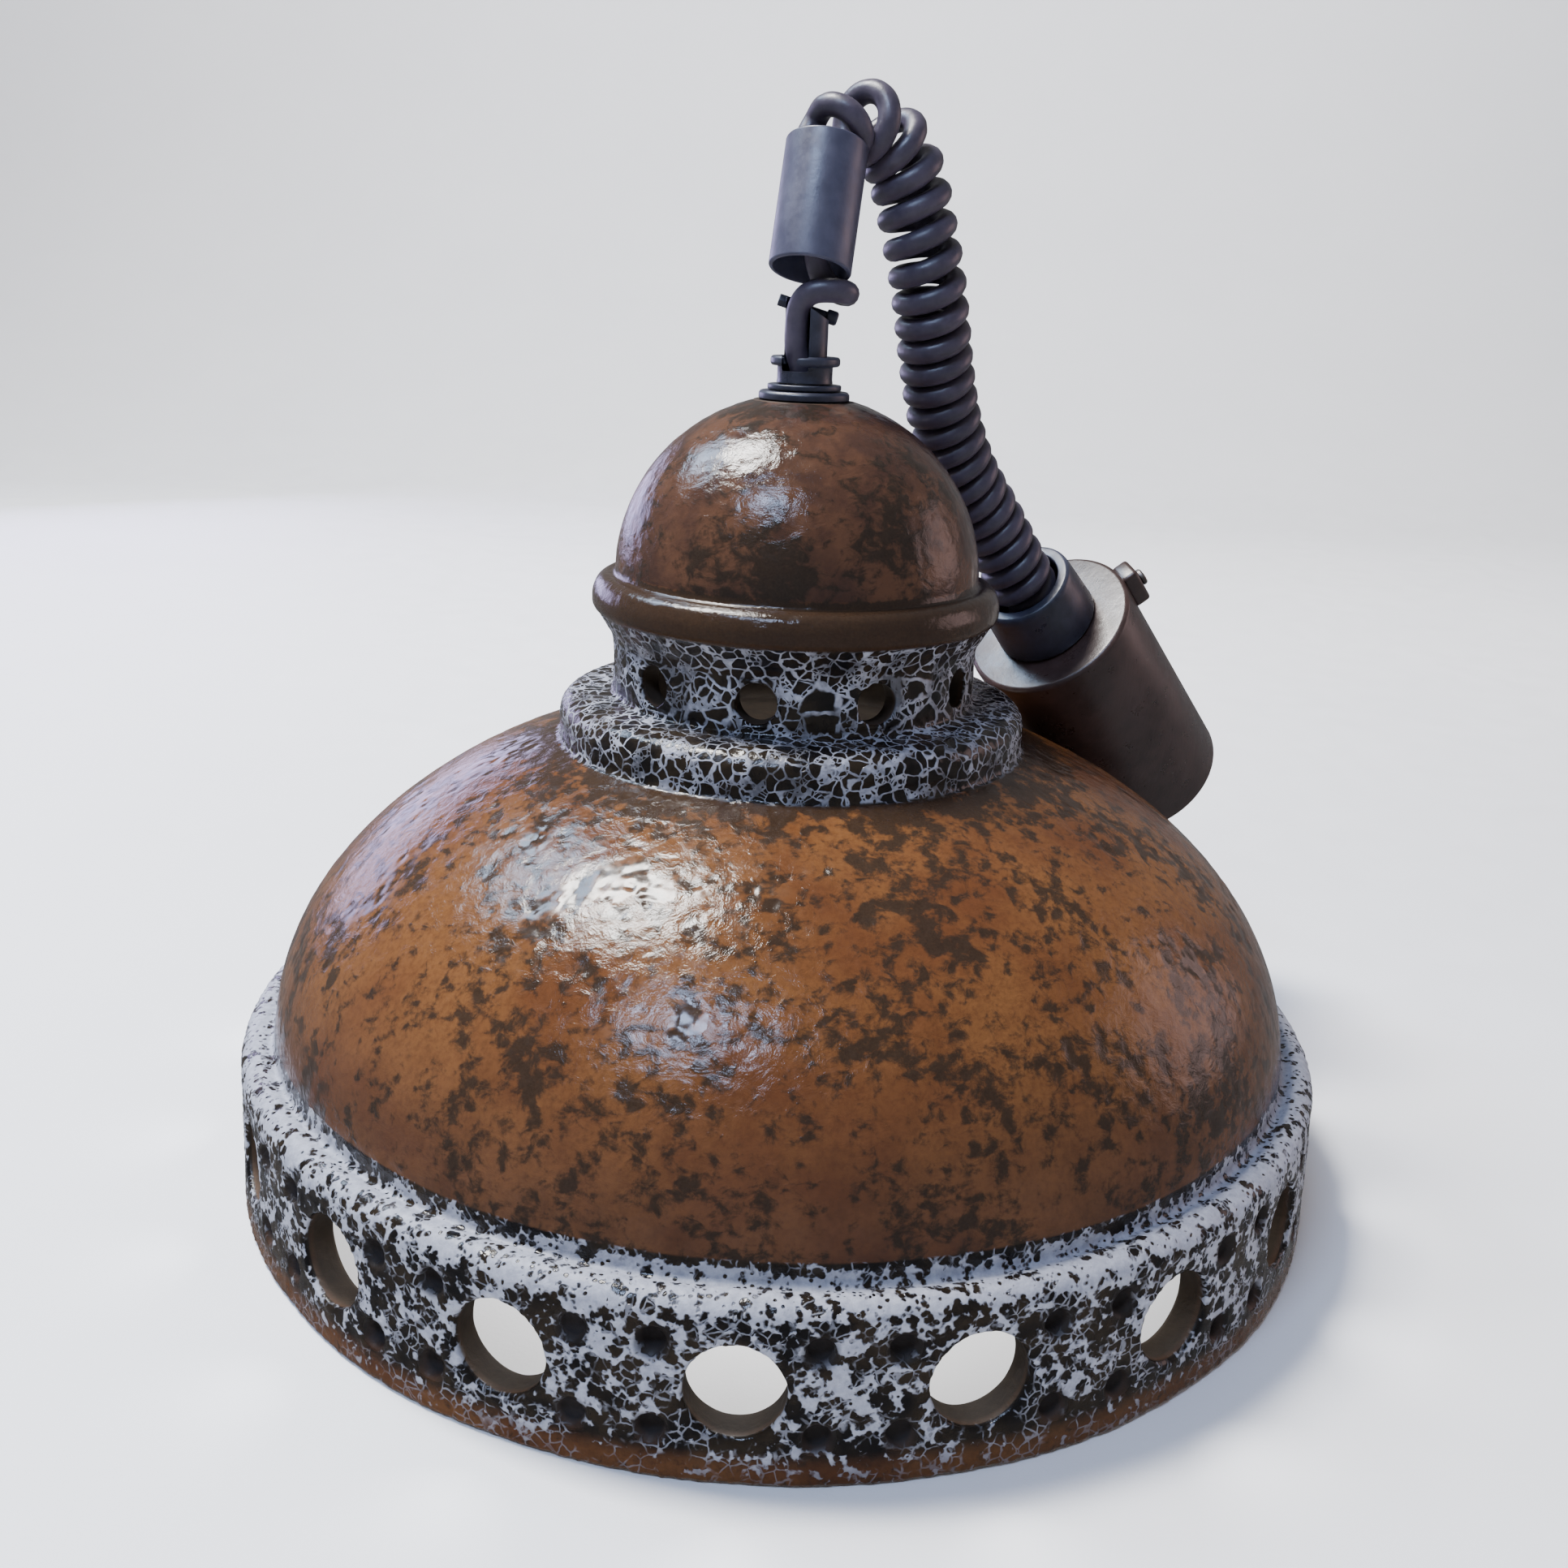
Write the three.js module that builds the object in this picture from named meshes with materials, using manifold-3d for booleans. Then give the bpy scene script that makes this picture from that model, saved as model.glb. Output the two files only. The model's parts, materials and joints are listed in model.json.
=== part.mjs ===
// A glazed ceramic pendant lamp standing on its rim, with its curly cord and ceiling canopy laid
// against the back of the shade. Millimetres, +Z up. The origin is the centre of the rim's foot.
import * as THREE from 'three';
import { mergeVertices } from 'three/addons/utils/BufferGeometryUtils.js';
import Module from 'manifold-3d';

const wasm = await Module();
wasm.setup();

// ---------------------------------------------------------------- driving dimensions
const GAP = 0.3;                  // clearance between pieces that touch

// shade
const RIM_R = 160;                // outside of the rim band
const BAND_H = 46;                // height of the rim band
const BAND_WALL = 8;
const WALL = 6.5;                 // wall of the two domes
const BIG_DOME = { r: 150.7, h: 96, z: 44.4 };      // half ellipse: radius, height, level of its base
const DISC_R = 67.7;              // lower disc of the neck
const DISC_Z = [129.5, 142.5];
const DRUM_R = 52.5;
const RING_R = 58.6;
const SMALL_DOME = { r: 52.2, h: 50.7, z: 177.5 };
const SEAT_R = 14;                // flat seat of the fittings on top of the small dome
const BIG_HOLES = { count: 18, r: 12, z: 24, phase: -92.3 };
const PITS = { r: 3.6, depth: 3, rows: [13, 35], side: 20 / 3 };
const VENTS = { count: 10, r: 5.75, z: 151.8, phase: -100.5 };

// cord
const CORD_R = 3.25;
const COIL_R = 11.5;              // outside of the curly part
const BORE_R = CORD_R + GAP;

// threaded nipple and the fittings on it
const NIPPLE_R = 5;
const NIPPLE_BORE_R = 4;
const NIPPLE_CLEAR_R = NIPPLE_R + GAP;

// cord sleeve
const SLEEVE_R = 11.4;
const SLEEVE_BORE_R = 10.2;
const SLEEVE_L = 37;
const SLEEVE_BASE = new THREE.Vector3(0.4, 1, 263.2);
const SLEEVE_AXIS = new THREE.Vector3(0.1, 0.33, 0.94).normalize();

// ceiling canopy, lying on its side against the big dome
const CUP_R = 28.7;
const CUP_L = 88;
const CUP_WALL = 2;
const CUP_END = new THREE.Vector3(85.4, 73.6, 151.8);             // centre of the closed end
const CUP_AXIS = new THREE.Vector3(-0.526, -0.474, 0.706).normalize();  // from open to closed end
const CUP_SIDE = new THREE.Vector3(0.765, 0.039, 0.642);          // towards the clamp boss
const COLLAR_L = 21;

// ---------------------------------------------------------------- colours
const group = new THREE.Group();
const look = (color, roughness, metalness = 0) =>
  new THREE.MeshStandardMaterial({ color, roughness, metalness });
const GLAZE = look(0x8a4f24, 0.18);
const BLACK_PLASTIC = look(0x1b1b22, 0.35);
const BROWN_PLASTIC = look(0x33231f, 0.4);
const SLEEVE_PLASTIC = look(0x3c3836, 0.38);
const CORD_PVC = look(0x1e1a20, 0.3);
const PHENOLIC = look(0x16130f, 0.3);
const CERAMIC = look(0xe6e1d6, 0.45);
const BRASS = look(0xb08d3c, 0.35, 1);
const STEEL = look(0x9b9da0, 0.4, 1);
const WIRE_BLUE = look(0x2c4f9e, 0.45);
const WIRE_BROWN = look(0x5b3319, 0.45);
const FIBRE = look(0x8d5b3a, 0.8);
const NYLON = look(0xe9e4d3, 0.5);

// ---------------------------------------------------------------- helpers
function add(name, geometry, material, parent = group) {
  const mesh = new THREE.Mesh(geometry, material);
  mesh.name = name;
  parent.add(mesh);
  return mesh;
}

// a lathe about +Z from a closed outline of [radius, height] points
function lathe(outline, segments = 24) {
  const points = outline.map(([r, z]) => new THREE.Vector2(r, z));
  if (THREE.ShapeUtils.isClockWise(points)) points.reverse();
  if (points[0].x > 0 || points.at(-1).x > 0) points.push(points[0].clone());
  return new THREE.LatheGeometry(points, segments).rotateX(Math.PI / 2);
}

// a plain tube or washer between two levels
const ring = (outer, inner, z0, z1, segments = 24) =>
  lathe([[inner, z0], [outer, z0], [outer, z1], [inner, z1]], segments);

// a plain disc or rod between two levels
const disc = (r, z0, z1, segments = 24) => lathe([[0, z0], [r, z0], [r, z1], [0, z1]], segments);

const box = (sx, sy, sz, x, y, z) => new THREE.BoxGeometry(sx, sy, sz).translate(x, y, z);

// a prism with a regular outline, between two levels
const prism = (r, sides, z0, z1) =>
  new THREE.CylinderGeometry(r, r, z1 - z0, sides).rotateX(Math.PI / 2).translate(0, 0, (z0 + z1) / 2);

function toSolid(geometry) {
  const bare = geometry.clone();
  const unwanted = Object.keys(bare.attributes).filter((key) => key !== 'position');
  unwanted.forEach((key) => bare.deleteAttribute(key));
  const merged = mergeVertices(bare, 1e-4);
  const triVerts = new Uint32Array(merged.index.array);
  const vertProperties = new Float32Array(merged.attributes.position.array);
  return new wasm.Manifold(new wasm.Mesh({ numProp: 3, vertProperties, triVerts }));
}

function toGeometry(solid) {
  const mesh = solid.getMesh();
  const geometry = new THREE.BufferGeometry();
  geometry.setAttribute('position', new THREE.BufferAttribute(new Float32Array(mesh.vertProperties), 3));
  geometry.setIndex(new THREE.BufferAttribute(new Uint32Array(mesh.triVerts), 1));
  geometry.computeVertexNormals();
  return geometry;
}

function cut(body, tools) {
  let solid = toSolid(body);
  for (const tool of tools) solid = solid.subtract(toSolid(tool));
  return toGeometry(solid);
}

function join(pieces) {
  let solid = toSolid(pieces[0]);
  for (const piece of pieces.slice(1)) solid = solid.add(toSolid(piece));
  return toGeometry(solid);
}

// a tube of round section along a smooth curve through the given points
function tube(points, r, sides, steps) {
  const curve = new THREE.CatmullRomCurve3(points.map((p) => new THREE.Vector3(...p)), false, 'centripetal');
  const section = new THREE.Shape();
  for (let i = 0; i < sides; i += 1) {
    const a = (i / sides) * 2 * Math.PI;
    const [x, y] = [r * Math.cos(a), r * Math.sin(a)];
    if (i === 0) section.moveTo(x, y);
    else section.lineTo(x, y);
  }
  section.closePath();
  return new THREE.ExtrudeGeometry(section, { steps, bevelEnabled: false, extrudePath: curve });
}

// a rod from one radius to another about +Z, turned to point outwards at an angle about Z
const radialRod = (r, inner, outer, angle, z, sides) =>
  new THREE.CylinderGeometry(r, r, outer - inner, sides)
    .rotateZ(-Math.PI / 2)
    .translate((inner + outer) / 2, 0, 0)
    .rotateZ(THREE.MathUtils.degToRad(angle))
    .translate(0, 0, z);

// a group whose local +Z is the given axis and whose local +X leans towards the given side
function frameAt(origin, axis, side) {
  const z = axis.clone().normalize();
  const y = new THREE.Vector3().crossVectors(z, side).normalize();
  const x = new THREE.Vector3().crossVectors(y, z);
  const placed = new THREE.Group();
  placed.quaternion.setFromRotationMatrix(new THREE.Matrix4().makeBasis(x, y, z));
  placed.position.copy(origin);
  placed.updateMatrixWorld(true);
  group.add(placed);
  return placed;
}

// ---------------------------------------------------------------- shade
const arcZ = (dome, r) => dome.z + dome.h * Math.sqrt(1 - (r / dome.r) ** 2);

// points along a half ellipse from one radius inwards to another, evenly by angle
function domeArc(dome, rFrom, rTo, count) {
  const from = Math.acos(rFrom / dome.r);
  const to = Math.acos(rTo / dome.r);
  return Array.from({ length: count }, (_, i) => {
    const t = from + ((to - from) * i) / (count - 1);
    return [dome.r * Math.cos(t), dome.z + dome.h * Math.sin(t)];
  });
}

function shadeOutline() {
  const big = BIG_DOME;
  const small = SMALL_DOME;
  const bigInside = { r: big.r - WALL, h: big.h - WALL, z: big.z };
  const smallInside = { r: small.r - WALL, h: small.h - WALL, z: small.z };
  const seatZ = arcZ(small, SEAT_R);
  const [discZ0, discZ1] = DISC_Z;
  const drumInside = DRUM_R - WALL;
  const bandInside = RIM_R - BAND_WALL;
  const outside = [
    [RIM_R + 1.5, 1.5],
    [RIM_R + 0.8, BAND_H / 2],
    [RIM_R, BAND_H - 5],
    [RIM_R - 1.4, BAND_H - 1.6],
    [RIM_R - 4.5, BAND_H],
    [big.r + 1.4, BAND_H - 0.8],
    ...domeArc(big, big.r - 0.05, DISC_R + 0.6, 9),
    [DISC_R, discZ0 + 1.6],
    [DISC_R, discZ1 - 5],
    [DISC_R - 1.6, discZ1 - 1.6],
    [DISC_R - 5, discZ1],
    [DRUM_R, discZ1 + 0.6],
    [DRUM_R, 158],
    [DRUM_R + 1.6, 162.5],
    [RING_R - 1, 168],
    [RING_R, 170.5],
    [RING_R - 0.6, 174],
    [RING_R - 2.8, 176.6],
    [small.r + 0.2, small.z],
    ...domeArc(small, small.r - 0.5, SEAT_R, 7),
    [NIPPLE_CLEAR_R, seatZ],
  ];
  const inside = [
    [NIPPLE_CLEAR_R, seatZ - WALL - 0.5],
    [SEAT_R + 1, seatZ - WALL - 0.5],
    ...domeArc(smallInside, smallInside.r - 0.4, SEAT_R + 6, 4).reverse(),
    [drumInside, 172],
    [drumInside, arcZ(bigInside, drumInside)],
    ...domeArc(bigInside, bigInside.r - 0.1, drumInside + 12, 6).reverse(),
    [bandInside, BAND_H - 9],
    [bandInside, 0],
    [RIM_R, 0],
  ];
  return [...outside, ...inside];
}

function shade() {
  const drills = [];
  for (let i = 0; i < BIG_HOLES.count; i += 1) {
    const middle = BIG_HOLES.phase + (360 * i) / BIG_HOLES.count;
    drills.push(radialRod(BIG_HOLES.r, RIM_R - 12, RIM_R + 4, middle, BIG_HOLES.z, 12));
    for (const z of PITS.rows) {
      for (const side of [PITS.side, 2 * PITS.side]) {
        drills.push(radialRod(PITS.r, RIM_R - PITS.depth, RIM_R + 4, middle + side, z, 6));
      }
    }
  }
  for (let i = 0; i < VENTS.count; i += 1) {
    const angle = VENTS.phase + (360 * i) / VENTS.count;
    drills.push(radialRod(VENTS.r, DRUM_R - 12, DRUM_R + 3, angle, VENTS.z, 10));
  }
  return cut(lathe(shadeOutline(), 36), drills);
}

add('shade_body', shade(), GLAZE);

// ---------------------------------------------------------------- fittings on top of the shade
const seatTop = arcZ(SMALL_DOME, SEAT_R);
const baseDiscZ = [seatTop + GAP, seatTop + GAP + 2.3];
const stepDiscZ = [baseDiscZ[1] + GAP, baseDiscZ[1] + GAP + 1.5];
const gripZ = stepDiscZ[1] + GAP;         // underside of the cord grip
const flangeZ = [gripZ + 4.6, gripZ + 7.2];
const postTop = flangeZ[1] + 15.5;
const POST_R = 6;
const CORD_OFFSET = [-2.8, -1.4];         // the cord leaves the grip off centre
const SCREW = { y: 4.1, z: flangeZ[1] + 12.4, tilt: -16, r: 1.2 };

// hand-chosen route of the cord: up the nipple, out of the grip off centre, a tight loop below the
// sleeve, then up through it
const cordStartRoute = [
  [0, 0, 200], [0, 0, 216], [0, 0, 231], [-1.2, -0.6, 235.6], [...CORD_OFFSET, 240], [...CORD_OFFSET, 246],
  [-2.4, -2, 252], [0.6, -3.2, 255.8], [5.2, -2.9, 256.9], [9.1, -0.6, 256.7], [9.4, 2.8, 256.7],
  [6.2, 4.2, 258.4], [3, 3.6, 262.6], [1.6, 4.2, 268.6], [2.5, 7.8, 280], [3.9, 12.7, 294.4],
];

add('cap_base_disc', ring(12.7, NIPPLE_CLEAR_R, ...baseDiscZ), BLACK_PLASTIC);
add('cap_step_disc', ring(10.3, NIPPLE_CLEAR_R, ...stepDiscZ), BLACK_PLASTIC);

// the grip's cross screw lies along local +X of this group
const screwGroup = new THREE.Group();
screwGroup.position.set(0, SCREW.y, SCREW.z);
screwGroup.rotation.y = THREE.MathUtils.degToRad(-SCREW.tilt);
screwGroup.updateMatrixWorld(true);
group.add(screwGroup);
const alongX = (geometry) => geometry.rotateY(Math.PI / 2);

function cordGrip() {
  const body = lathe([
    [NIPPLE_CLEAR_R, gripZ], [7.9, gripZ], [7.7, gripZ + 1], [7.7, flangeZ[0]], [9.2, flangeZ[0]],
    [9.7, flangeZ[0] + 0.6], [9.7, flangeZ[1] - 0.6], [9.2, flangeZ[1]], [6.9, flangeZ[1]],
    [6.9, flangeZ[1] - 3.6], [NIPPLE_CLEAR_R, flangeZ[1] - 4.6],
  ]);
  const post = join([
    disc(POST_R, flangeZ[1] - 1, postTop, 20),
    ring(9, 5, flangeZ[1] - 2, flangeZ[1] - 0.5),
  ]);
  const groove = tube(cordStartRoute.slice(1, 11), BORE_R + 0.2, 8, 16);
  const opening = box(2 * BORE_R, 8, 24, CORD_OFFSET[0], CORD_OFFSET[1] - 4, flangeZ[1] + 8);
  const wayOut = box(8, 2 * BORE_R, 24, CORD_OFFSET[0] - 4, CORD_OFFSET[1] - 0.6, flangeZ[1] + 8);
  const slope = box(16, 16, 8, 5, 0, 2.2).rotateY(0.55).translate(0, 0, postTop);
  const well = disc(6.6, flangeZ[1] - 3.4, flangeZ[1] - 2.2, 20);
  const screwHole = alongX(disc(SCREW.r + GAP, -12, 12, 12)).applyMatrix4(screwGroup.matrix);
  const headSeat = alongX(disc(2.6, 5.2, 12, 12)).applyMatrix4(screwGroup.matrix);
  const nutSeat = alongX(disc(2.6, -12, -5.2, 12)).applyMatrix4(screwGroup.matrix);
  const shapedPost = cut(post, [groove, opening, wayOut, slope, well, screwHole, headSeat, nutSeat]);
  return cut(join([body, shapedPost]), [groove]);
}

add('cord_grip', cordGrip(), BLACK_PLASTIC);

add('grip_screw', alongX(lathe([
  [0, -4.6], [SCREW.r, -4.6], [SCREW.r, 5.5], [1.7, 5.5], [1.9, 5.9], [1.9, 8.3], [1.5, 8.8], [0, 8.8],
], 20)), BLACK_PLASTIC, screwGroup);
add('grip_nut', alongX(prism(1.75, 6, -8.4, -5.5)), BLACK_PLASTIC, screwGroup);

// ---------------------------------------------------------------- inside the shade
const innerSeat = seatTop - WALL - 0.5;   // flat ceiling inside the small dome
const innerDiscZ = [innerSeat - GAP - 1.6, innerSeat - GAP];
const lockNutZ = [innerDiscZ[0] - GAP - 4, innerDiscZ[0] - GAP];
const holderTop = lockNutZ[0] - GAP;
const HOLDER_R = 20.2;
const capBottom = holderTop - 22;
const insertZ = [capBottom - 11, capBottom - 1.5];
const shellZ = [insertZ[0] - GAP - 24, insertZ[0] - GAP];
const skirtBottom = shellZ[0] - 1.5;
const collarTop = capBottom - 18;

add('nipple', ring(NIPPLE_R, NIPPLE_BORE_R, holderTop - 9, flangeZ[1] - 5.2, 20), STEEL);
add('inner_disc', ring(13, NIPPLE_CLEAR_R, ...innerDiscZ), STEEL);
const lockNutHole = disc(NIPPLE_CLEAR_R, lockNutZ[0] - 1, lockNutZ[1] + 1, 24);
add('lock_nut', cut(prism(8.2, 6, ...lockNutZ), [lockNutHole]), BRASS);

add('holder_cap', lathe([
  [NIPPLE_CLEAR_R, holderTop], [NIPPLE_CLEAR_R, holderTop - 3], [12, holderTop - 4], [16.5, holderTop - 8],
  [17.7, holderTop - 12], [17.7, capBottom], [HOLDER_R, capBottom], [HOLDER_R, holderTop - 11],
  [19, holderTop - 6], [15, holderTop - 1.5], [10, holderTop],
]), PHENOLIC);

// the skirt screws into the cap; its top spigot carries the insert
add('holder_skirt', lathe([
  [17.2, capBottom + 6], [15.6, capBottom + 6], [15.6, insertZ[1] + GAP + 0.8], [17, insertZ[1] + GAP],
  [17, skirtBottom], [HOLDER_R - 0.8, skirtBottom], [HOLDER_R, skirtBottom + 1],
  [HOLDER_R, capBottom - GAP], [17.2, capBottom - GAP],
]), PHENOLIC);

add('holder_insert', cut(
  join([disc(16.4, insertZ[0], insertZ[1]), disc(9, insertZ[1] - 1, insertZ[1] + 3, 24)]),
  [disc(2.2, insertZ[0] - 1, insertZ[1] + 5, 12)],
), CERAMIC);
add('screw_shell', ring(14.1, 13.3, ...shellZ), BRASS);
add('centre_contact', join([
  disc(4.6, insertZ[0] - GAP - 1, insertZ[0] - GAP, 20),
  disc(3, insertZ[0] - GAP - 3.4, insertZ[0] - GAP - 0.6, 16),
]), BRASS);
for (const [name, x] of [['terminal_screw_live', 12.2], ['terminal_screw_neutral', -12.2]]) {
  add(name, disc(2.2, insertZ[1] + GAP, insertZ[1] + 3, 12).translate(x, 0, 0), BRASS);
}

// clamp collar on the skirt, with a fibre washer that travels with it
const washerZ = [collarTop + GAP, collarTop + GAP + 1];
add('collar_washer', ring(25, HOLDER_R + GAP, ...washerZ), FIBRE);
add('clamp_collar', cut(
  lathe([
    [HOLDER_R + 0.35, collarTop - 7], [23.5, collarTop - 7], [24.2, collarTop - 6], [24.2, collarTop - 2.5],
    [27, collarTop - 1.6], [27, collarTop], [HOLDER_R + 0.35, collarTop],
  ]),
  Array.from({ length: 8 }, (_, i) => radialRod(1.2, 23.6, 28, i * 45 + 22.5, collarTop - 5, 6)),
), PHENOLIC);

// ---------------------------------------------------------------- cord between the holder and the sleeve
add('cord_start', tube(cordStartRoute, CORD_R, 10, 30), CORD_PVC);

const sleeve = frameAt(SLEEVE_BASE, SLEEVE_AXIS, new THREE.Vector3(1, 0, 0));
add('cord_sleeve', ring(SLEEVE_R, SLEEVE_BORE_R, 0, SLEEVE_L), SLEEVE_PLASTIC, sleeve);

// ---------------------------------------------------------------- curly cord from the arch to the canopy
const archRoute = [
  [4, 13.2, 294.9], [5, 15.4, 301], [9.4, 17.4, 305.4], [16.4, 19.6, 304.2], [21.8, 21.4, 298.6],
  [24.2, 22.7, 292.6],
];
add('cord_arch', tube(archRoute, CORD_R, 10, 8), CORD_PVC);

const collarMouth = CUP_END.clone().addScaledVector(CUP_AXIS, COLLAR_L);
const coilEnd = collarMouth.clone().addScaledVector(CUP_AXIS, -9);
const coilRoute = [
  [24.4, 22.9, 292.2], [27.6, 24, 282.4], [31, 25.6, 271.8], [34.1, 28, 261], [36.9, 32, 247.5],
  [39.7, 37, 233.5], [43.6, 42.6, 218.9], [50.2, 48.6, 203.7], [60, 55.4, 189],
  collarMouth.clone().addScaledVector(CUP_AXIS, 3).toArray(), coilEnd.toArray(),
];
add('cord_coil', tube(coilRoute, COIL_R, 12, 26), CORD_PVC);

// ---------------------------------------------------------------- canopy, in its own frame
// local origin: centre of the closed end's outer face; local +Z: out of the closed end
const canopy = frameAt(CUP_END, CUP_AXIS, CUP_SIDE);
const BOSS = { depth: 5, width: 9, z: [-15, -0.8], screwZ: -8 };
const SPIGOT_R = 6.4;

function canopyCup() {
  const shell = lathe([
    [SPIGOT_R + GAP, 0], [SPIGOT_R + GAP, -2.6], [CUP_R - CUP_WALL - 1, -2.6], [CUP_R - CUP_WALL, -3.6],
    [CUP_R - CUP_WALL, -CUP_L], [CUP_R, -CUP_L], [CUP_R, -1], [CUP_R - 1, 0],
  ]);
  const bossLength = BOSS.z[1] - BOSS.z[0];
  const bossMiddle = (BOSS.z[0] + BOSS.z[1]) / 2;
  const boss = box(BOSS.depth + 1, BOSS.width, bossLength, CUP_R + (BOSS.depth - 1) / 2, 0, bossMiddle);
  const screwHole = radialRod(1.8, CUP_R - 6, CUP_R + 8, 0, BOSS.screwZ, 12);
  return cut(join([shell, boss]), [screwHole]);
}

add('canopy_cup', canopyCup(), BROWN_PLASTIC, canopy);
add('canopy_screw', join([
  radialRod(1.5, CUP_R - 4, CUP_R + BOSS.depth + 1, 0, BOSS.screwZ, 12),
  radialRod(2.9, CUP_R + BOSS.depth + GAP, CUP_R + BOSS.depth + 2, 0, BOSS.screwZ, 16),
]), STEEL, canopy);

add('canopy_collar', lathe([
  [BORE_R, GAP], [16.9, GAP], [17.2, 1.2], [16, COLLAR_L - 0.8], [15.2, COLLAR_L], [12.3, COLLAR_L],
  [12, COLLAR_L - 12], [11, COLLAR_L - 13], [BORE_R, COLLAR_L - 13],
]), BLACK_PLASTIC, canopy);
add('collar_spigot', ring(SPIGOT_R, BORE_R, -12, 0, 24), BLACK_PLASTIC, canopy);
add('collar_nut', cut(prism(11, 6, -7, -2.9), [disc(SPIGOT_R + GAP, -8, -2, 24)]), BLACK_PLASTIC, canopy);

// the sheath passes the collar and its spigot, and ends in the cord clamp
add('cord_tail', disc(CORD_R, -26, COLLAR_L - 12.6, 12), CORD_PVC, canopy);

const CLAMP = { z: -17.5, size: [5.6, 13, 8], screwY: [-5, 5] };
function cordClamp(side) {
  const [depth, width, height] = CLAMP.size;
  const block = box(depth, width, height, side * (depth / 2 + 0.25), 0, CLAMP.z);
  const holes = CLAMP.screwY.map((y) => radialRod(1.6, -12, 12, 0, CLAMP.z, 10).translate(0, y, 0));
  return cut(block, [disc(BORE_R, CLAMP.z - 5.5, CLAMP.z + 5.5, 16), ...holes]);
}
add('clamp_half_fixed', cordClamp(-1), NYLON, canopy);
add('clamp_half_screwed', cordClamp(1), NYLON, canopy);
CLAMP.screwY.forEach((y, i) => {
  const shank = radialRod(1.25, -6.6, 6.6, 0, CLAMP.z, 10);
  const head = radialRod(2.2, 6.2, 7.8, 0, CLAMP.z, 12);
  add(`clamp_screw_${i + 1}`, join([shank, head]).translate(0, y, 0), STEEL, canopy);
});

// strap across the open end, with feet that the ceiling screws go through
const STRAP_Z = -80;
const strap = cut(
  join([
    box(50, 12, 1.6, 0, 0, STRAP_Z),
    box(1.6, 12, 46, -24.2, 0, STRAP_Z + 22.6),
    box(1.6, 12, 46, 24.2, 0, STRAP_Z + 22.6),
  ]),
  [-14, 0, 14].map((x) => disc(2.4, STRAP_Z - 3, STRAP_Z + 3, 12).translate(x, 0, 0)),
);
add('mounting_strap', strap, STEEL, canopy);

// suspension hook: a stem held in the middle of the strap, with a hooked wire below the cord clamp
const hookRadius = 5.5;
const hookMiddle = STRAP_Z + 22;
const hookRoute = [[0, 0, STRAP_Z - 4.4], [0, 0, STRAP_Z + 4], [0, 0, hookMiddle - hookRadius * 1.6]];
for (let i = 0; i <= 7; i += 1) {
  const a = THREE.MathUtils.degToRad(-80 + i * 37);
  hookRoute.push([hookRadius * Math.cos(a), 0, hookMiddle + hookRadius * Math.sin(a)]);
}
add('suspension_hook', tube(hookRoute, 1.7, 8, 18), STEEL, canopy);
const hookNut = cut(prism(4.4, 6, STRAP_Z + 1.1, STRAP_Z + 4.1), [disc(2.1, STRAP_Z, STRAP_Z + 5, 12)]);
add('hook_nut', hookNut, BRASS, canopy);

// three-way terminal block beside the hook
const BLOCK = { x: -14, y: 0, z: -52, size: [9, 27, 15] };
const wireHoles = [-8.5, 0, 8.5];
const block = cut(
  box(...BLOCK.size, BLOCK.x, BLOCK.y, BLOCK.z),
  wireHoles.flatMap((y) => [
    disc(2, BLOCK.z - 9, BLOCK.z + 9, 8).translate(BLOCK.x - 1, y, 0),
    radialRod(2.1, BLOCK.x + 1.5, BLOCK.x + 6, 0, BLOCK.z, 8).translate(0, y, 0),
  ]),
);
add('terminal_block', block, NYLON, canopy);
wireHoles.forEach((y, i) => {
  const screw = radialRod(1.75, BLOCK.x + 2.2, BLOCK.x + 4.2, 0, BLOCK.z, 10).translate(0, y, 0);
  add(`block_screw_${i + 1}`, screw, BRASS, canopy);
});

// conductors from the sheath's end to the block
function conductor(yStart, yEnd) {
  const route = [
    [-0.6, yStart, -26.4], [-1.6, yStart * 1.6, -31], [-9, yEnd * 0.7, -37],
    [BLOCK.x - 1, yEnd, -42], [BLOCK.x - 1, yEnd, -48],
  ];
  return tube(route, 1.1, 8, 10);
}
add('wire_live', conductor(-1.3, wireHoles[0]), WIRE_BROWN, canopy);
add('wire_neutral', conductor(1.3, wireHoles[2]), WIRE_BLUE, canopy);

export default group;
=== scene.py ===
import itertools
import json
import math

import bmesh
import bpy
import numpy as np
from mathutils import Matrix, Vector


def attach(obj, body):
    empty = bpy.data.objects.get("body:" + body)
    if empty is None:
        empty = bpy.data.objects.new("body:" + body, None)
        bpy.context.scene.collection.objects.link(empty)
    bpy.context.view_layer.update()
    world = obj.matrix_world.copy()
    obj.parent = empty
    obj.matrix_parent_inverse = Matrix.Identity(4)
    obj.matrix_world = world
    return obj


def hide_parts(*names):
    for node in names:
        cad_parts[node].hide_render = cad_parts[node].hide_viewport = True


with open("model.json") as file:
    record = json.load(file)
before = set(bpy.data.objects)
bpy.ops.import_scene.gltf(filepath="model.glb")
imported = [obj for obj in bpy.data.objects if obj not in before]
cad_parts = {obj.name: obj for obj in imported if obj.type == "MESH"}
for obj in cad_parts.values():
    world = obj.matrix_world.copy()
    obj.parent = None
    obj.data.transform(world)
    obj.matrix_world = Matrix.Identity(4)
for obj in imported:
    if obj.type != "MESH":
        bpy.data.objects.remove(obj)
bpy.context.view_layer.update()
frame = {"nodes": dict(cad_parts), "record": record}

MM = 0.001
GAP = 0.3


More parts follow.
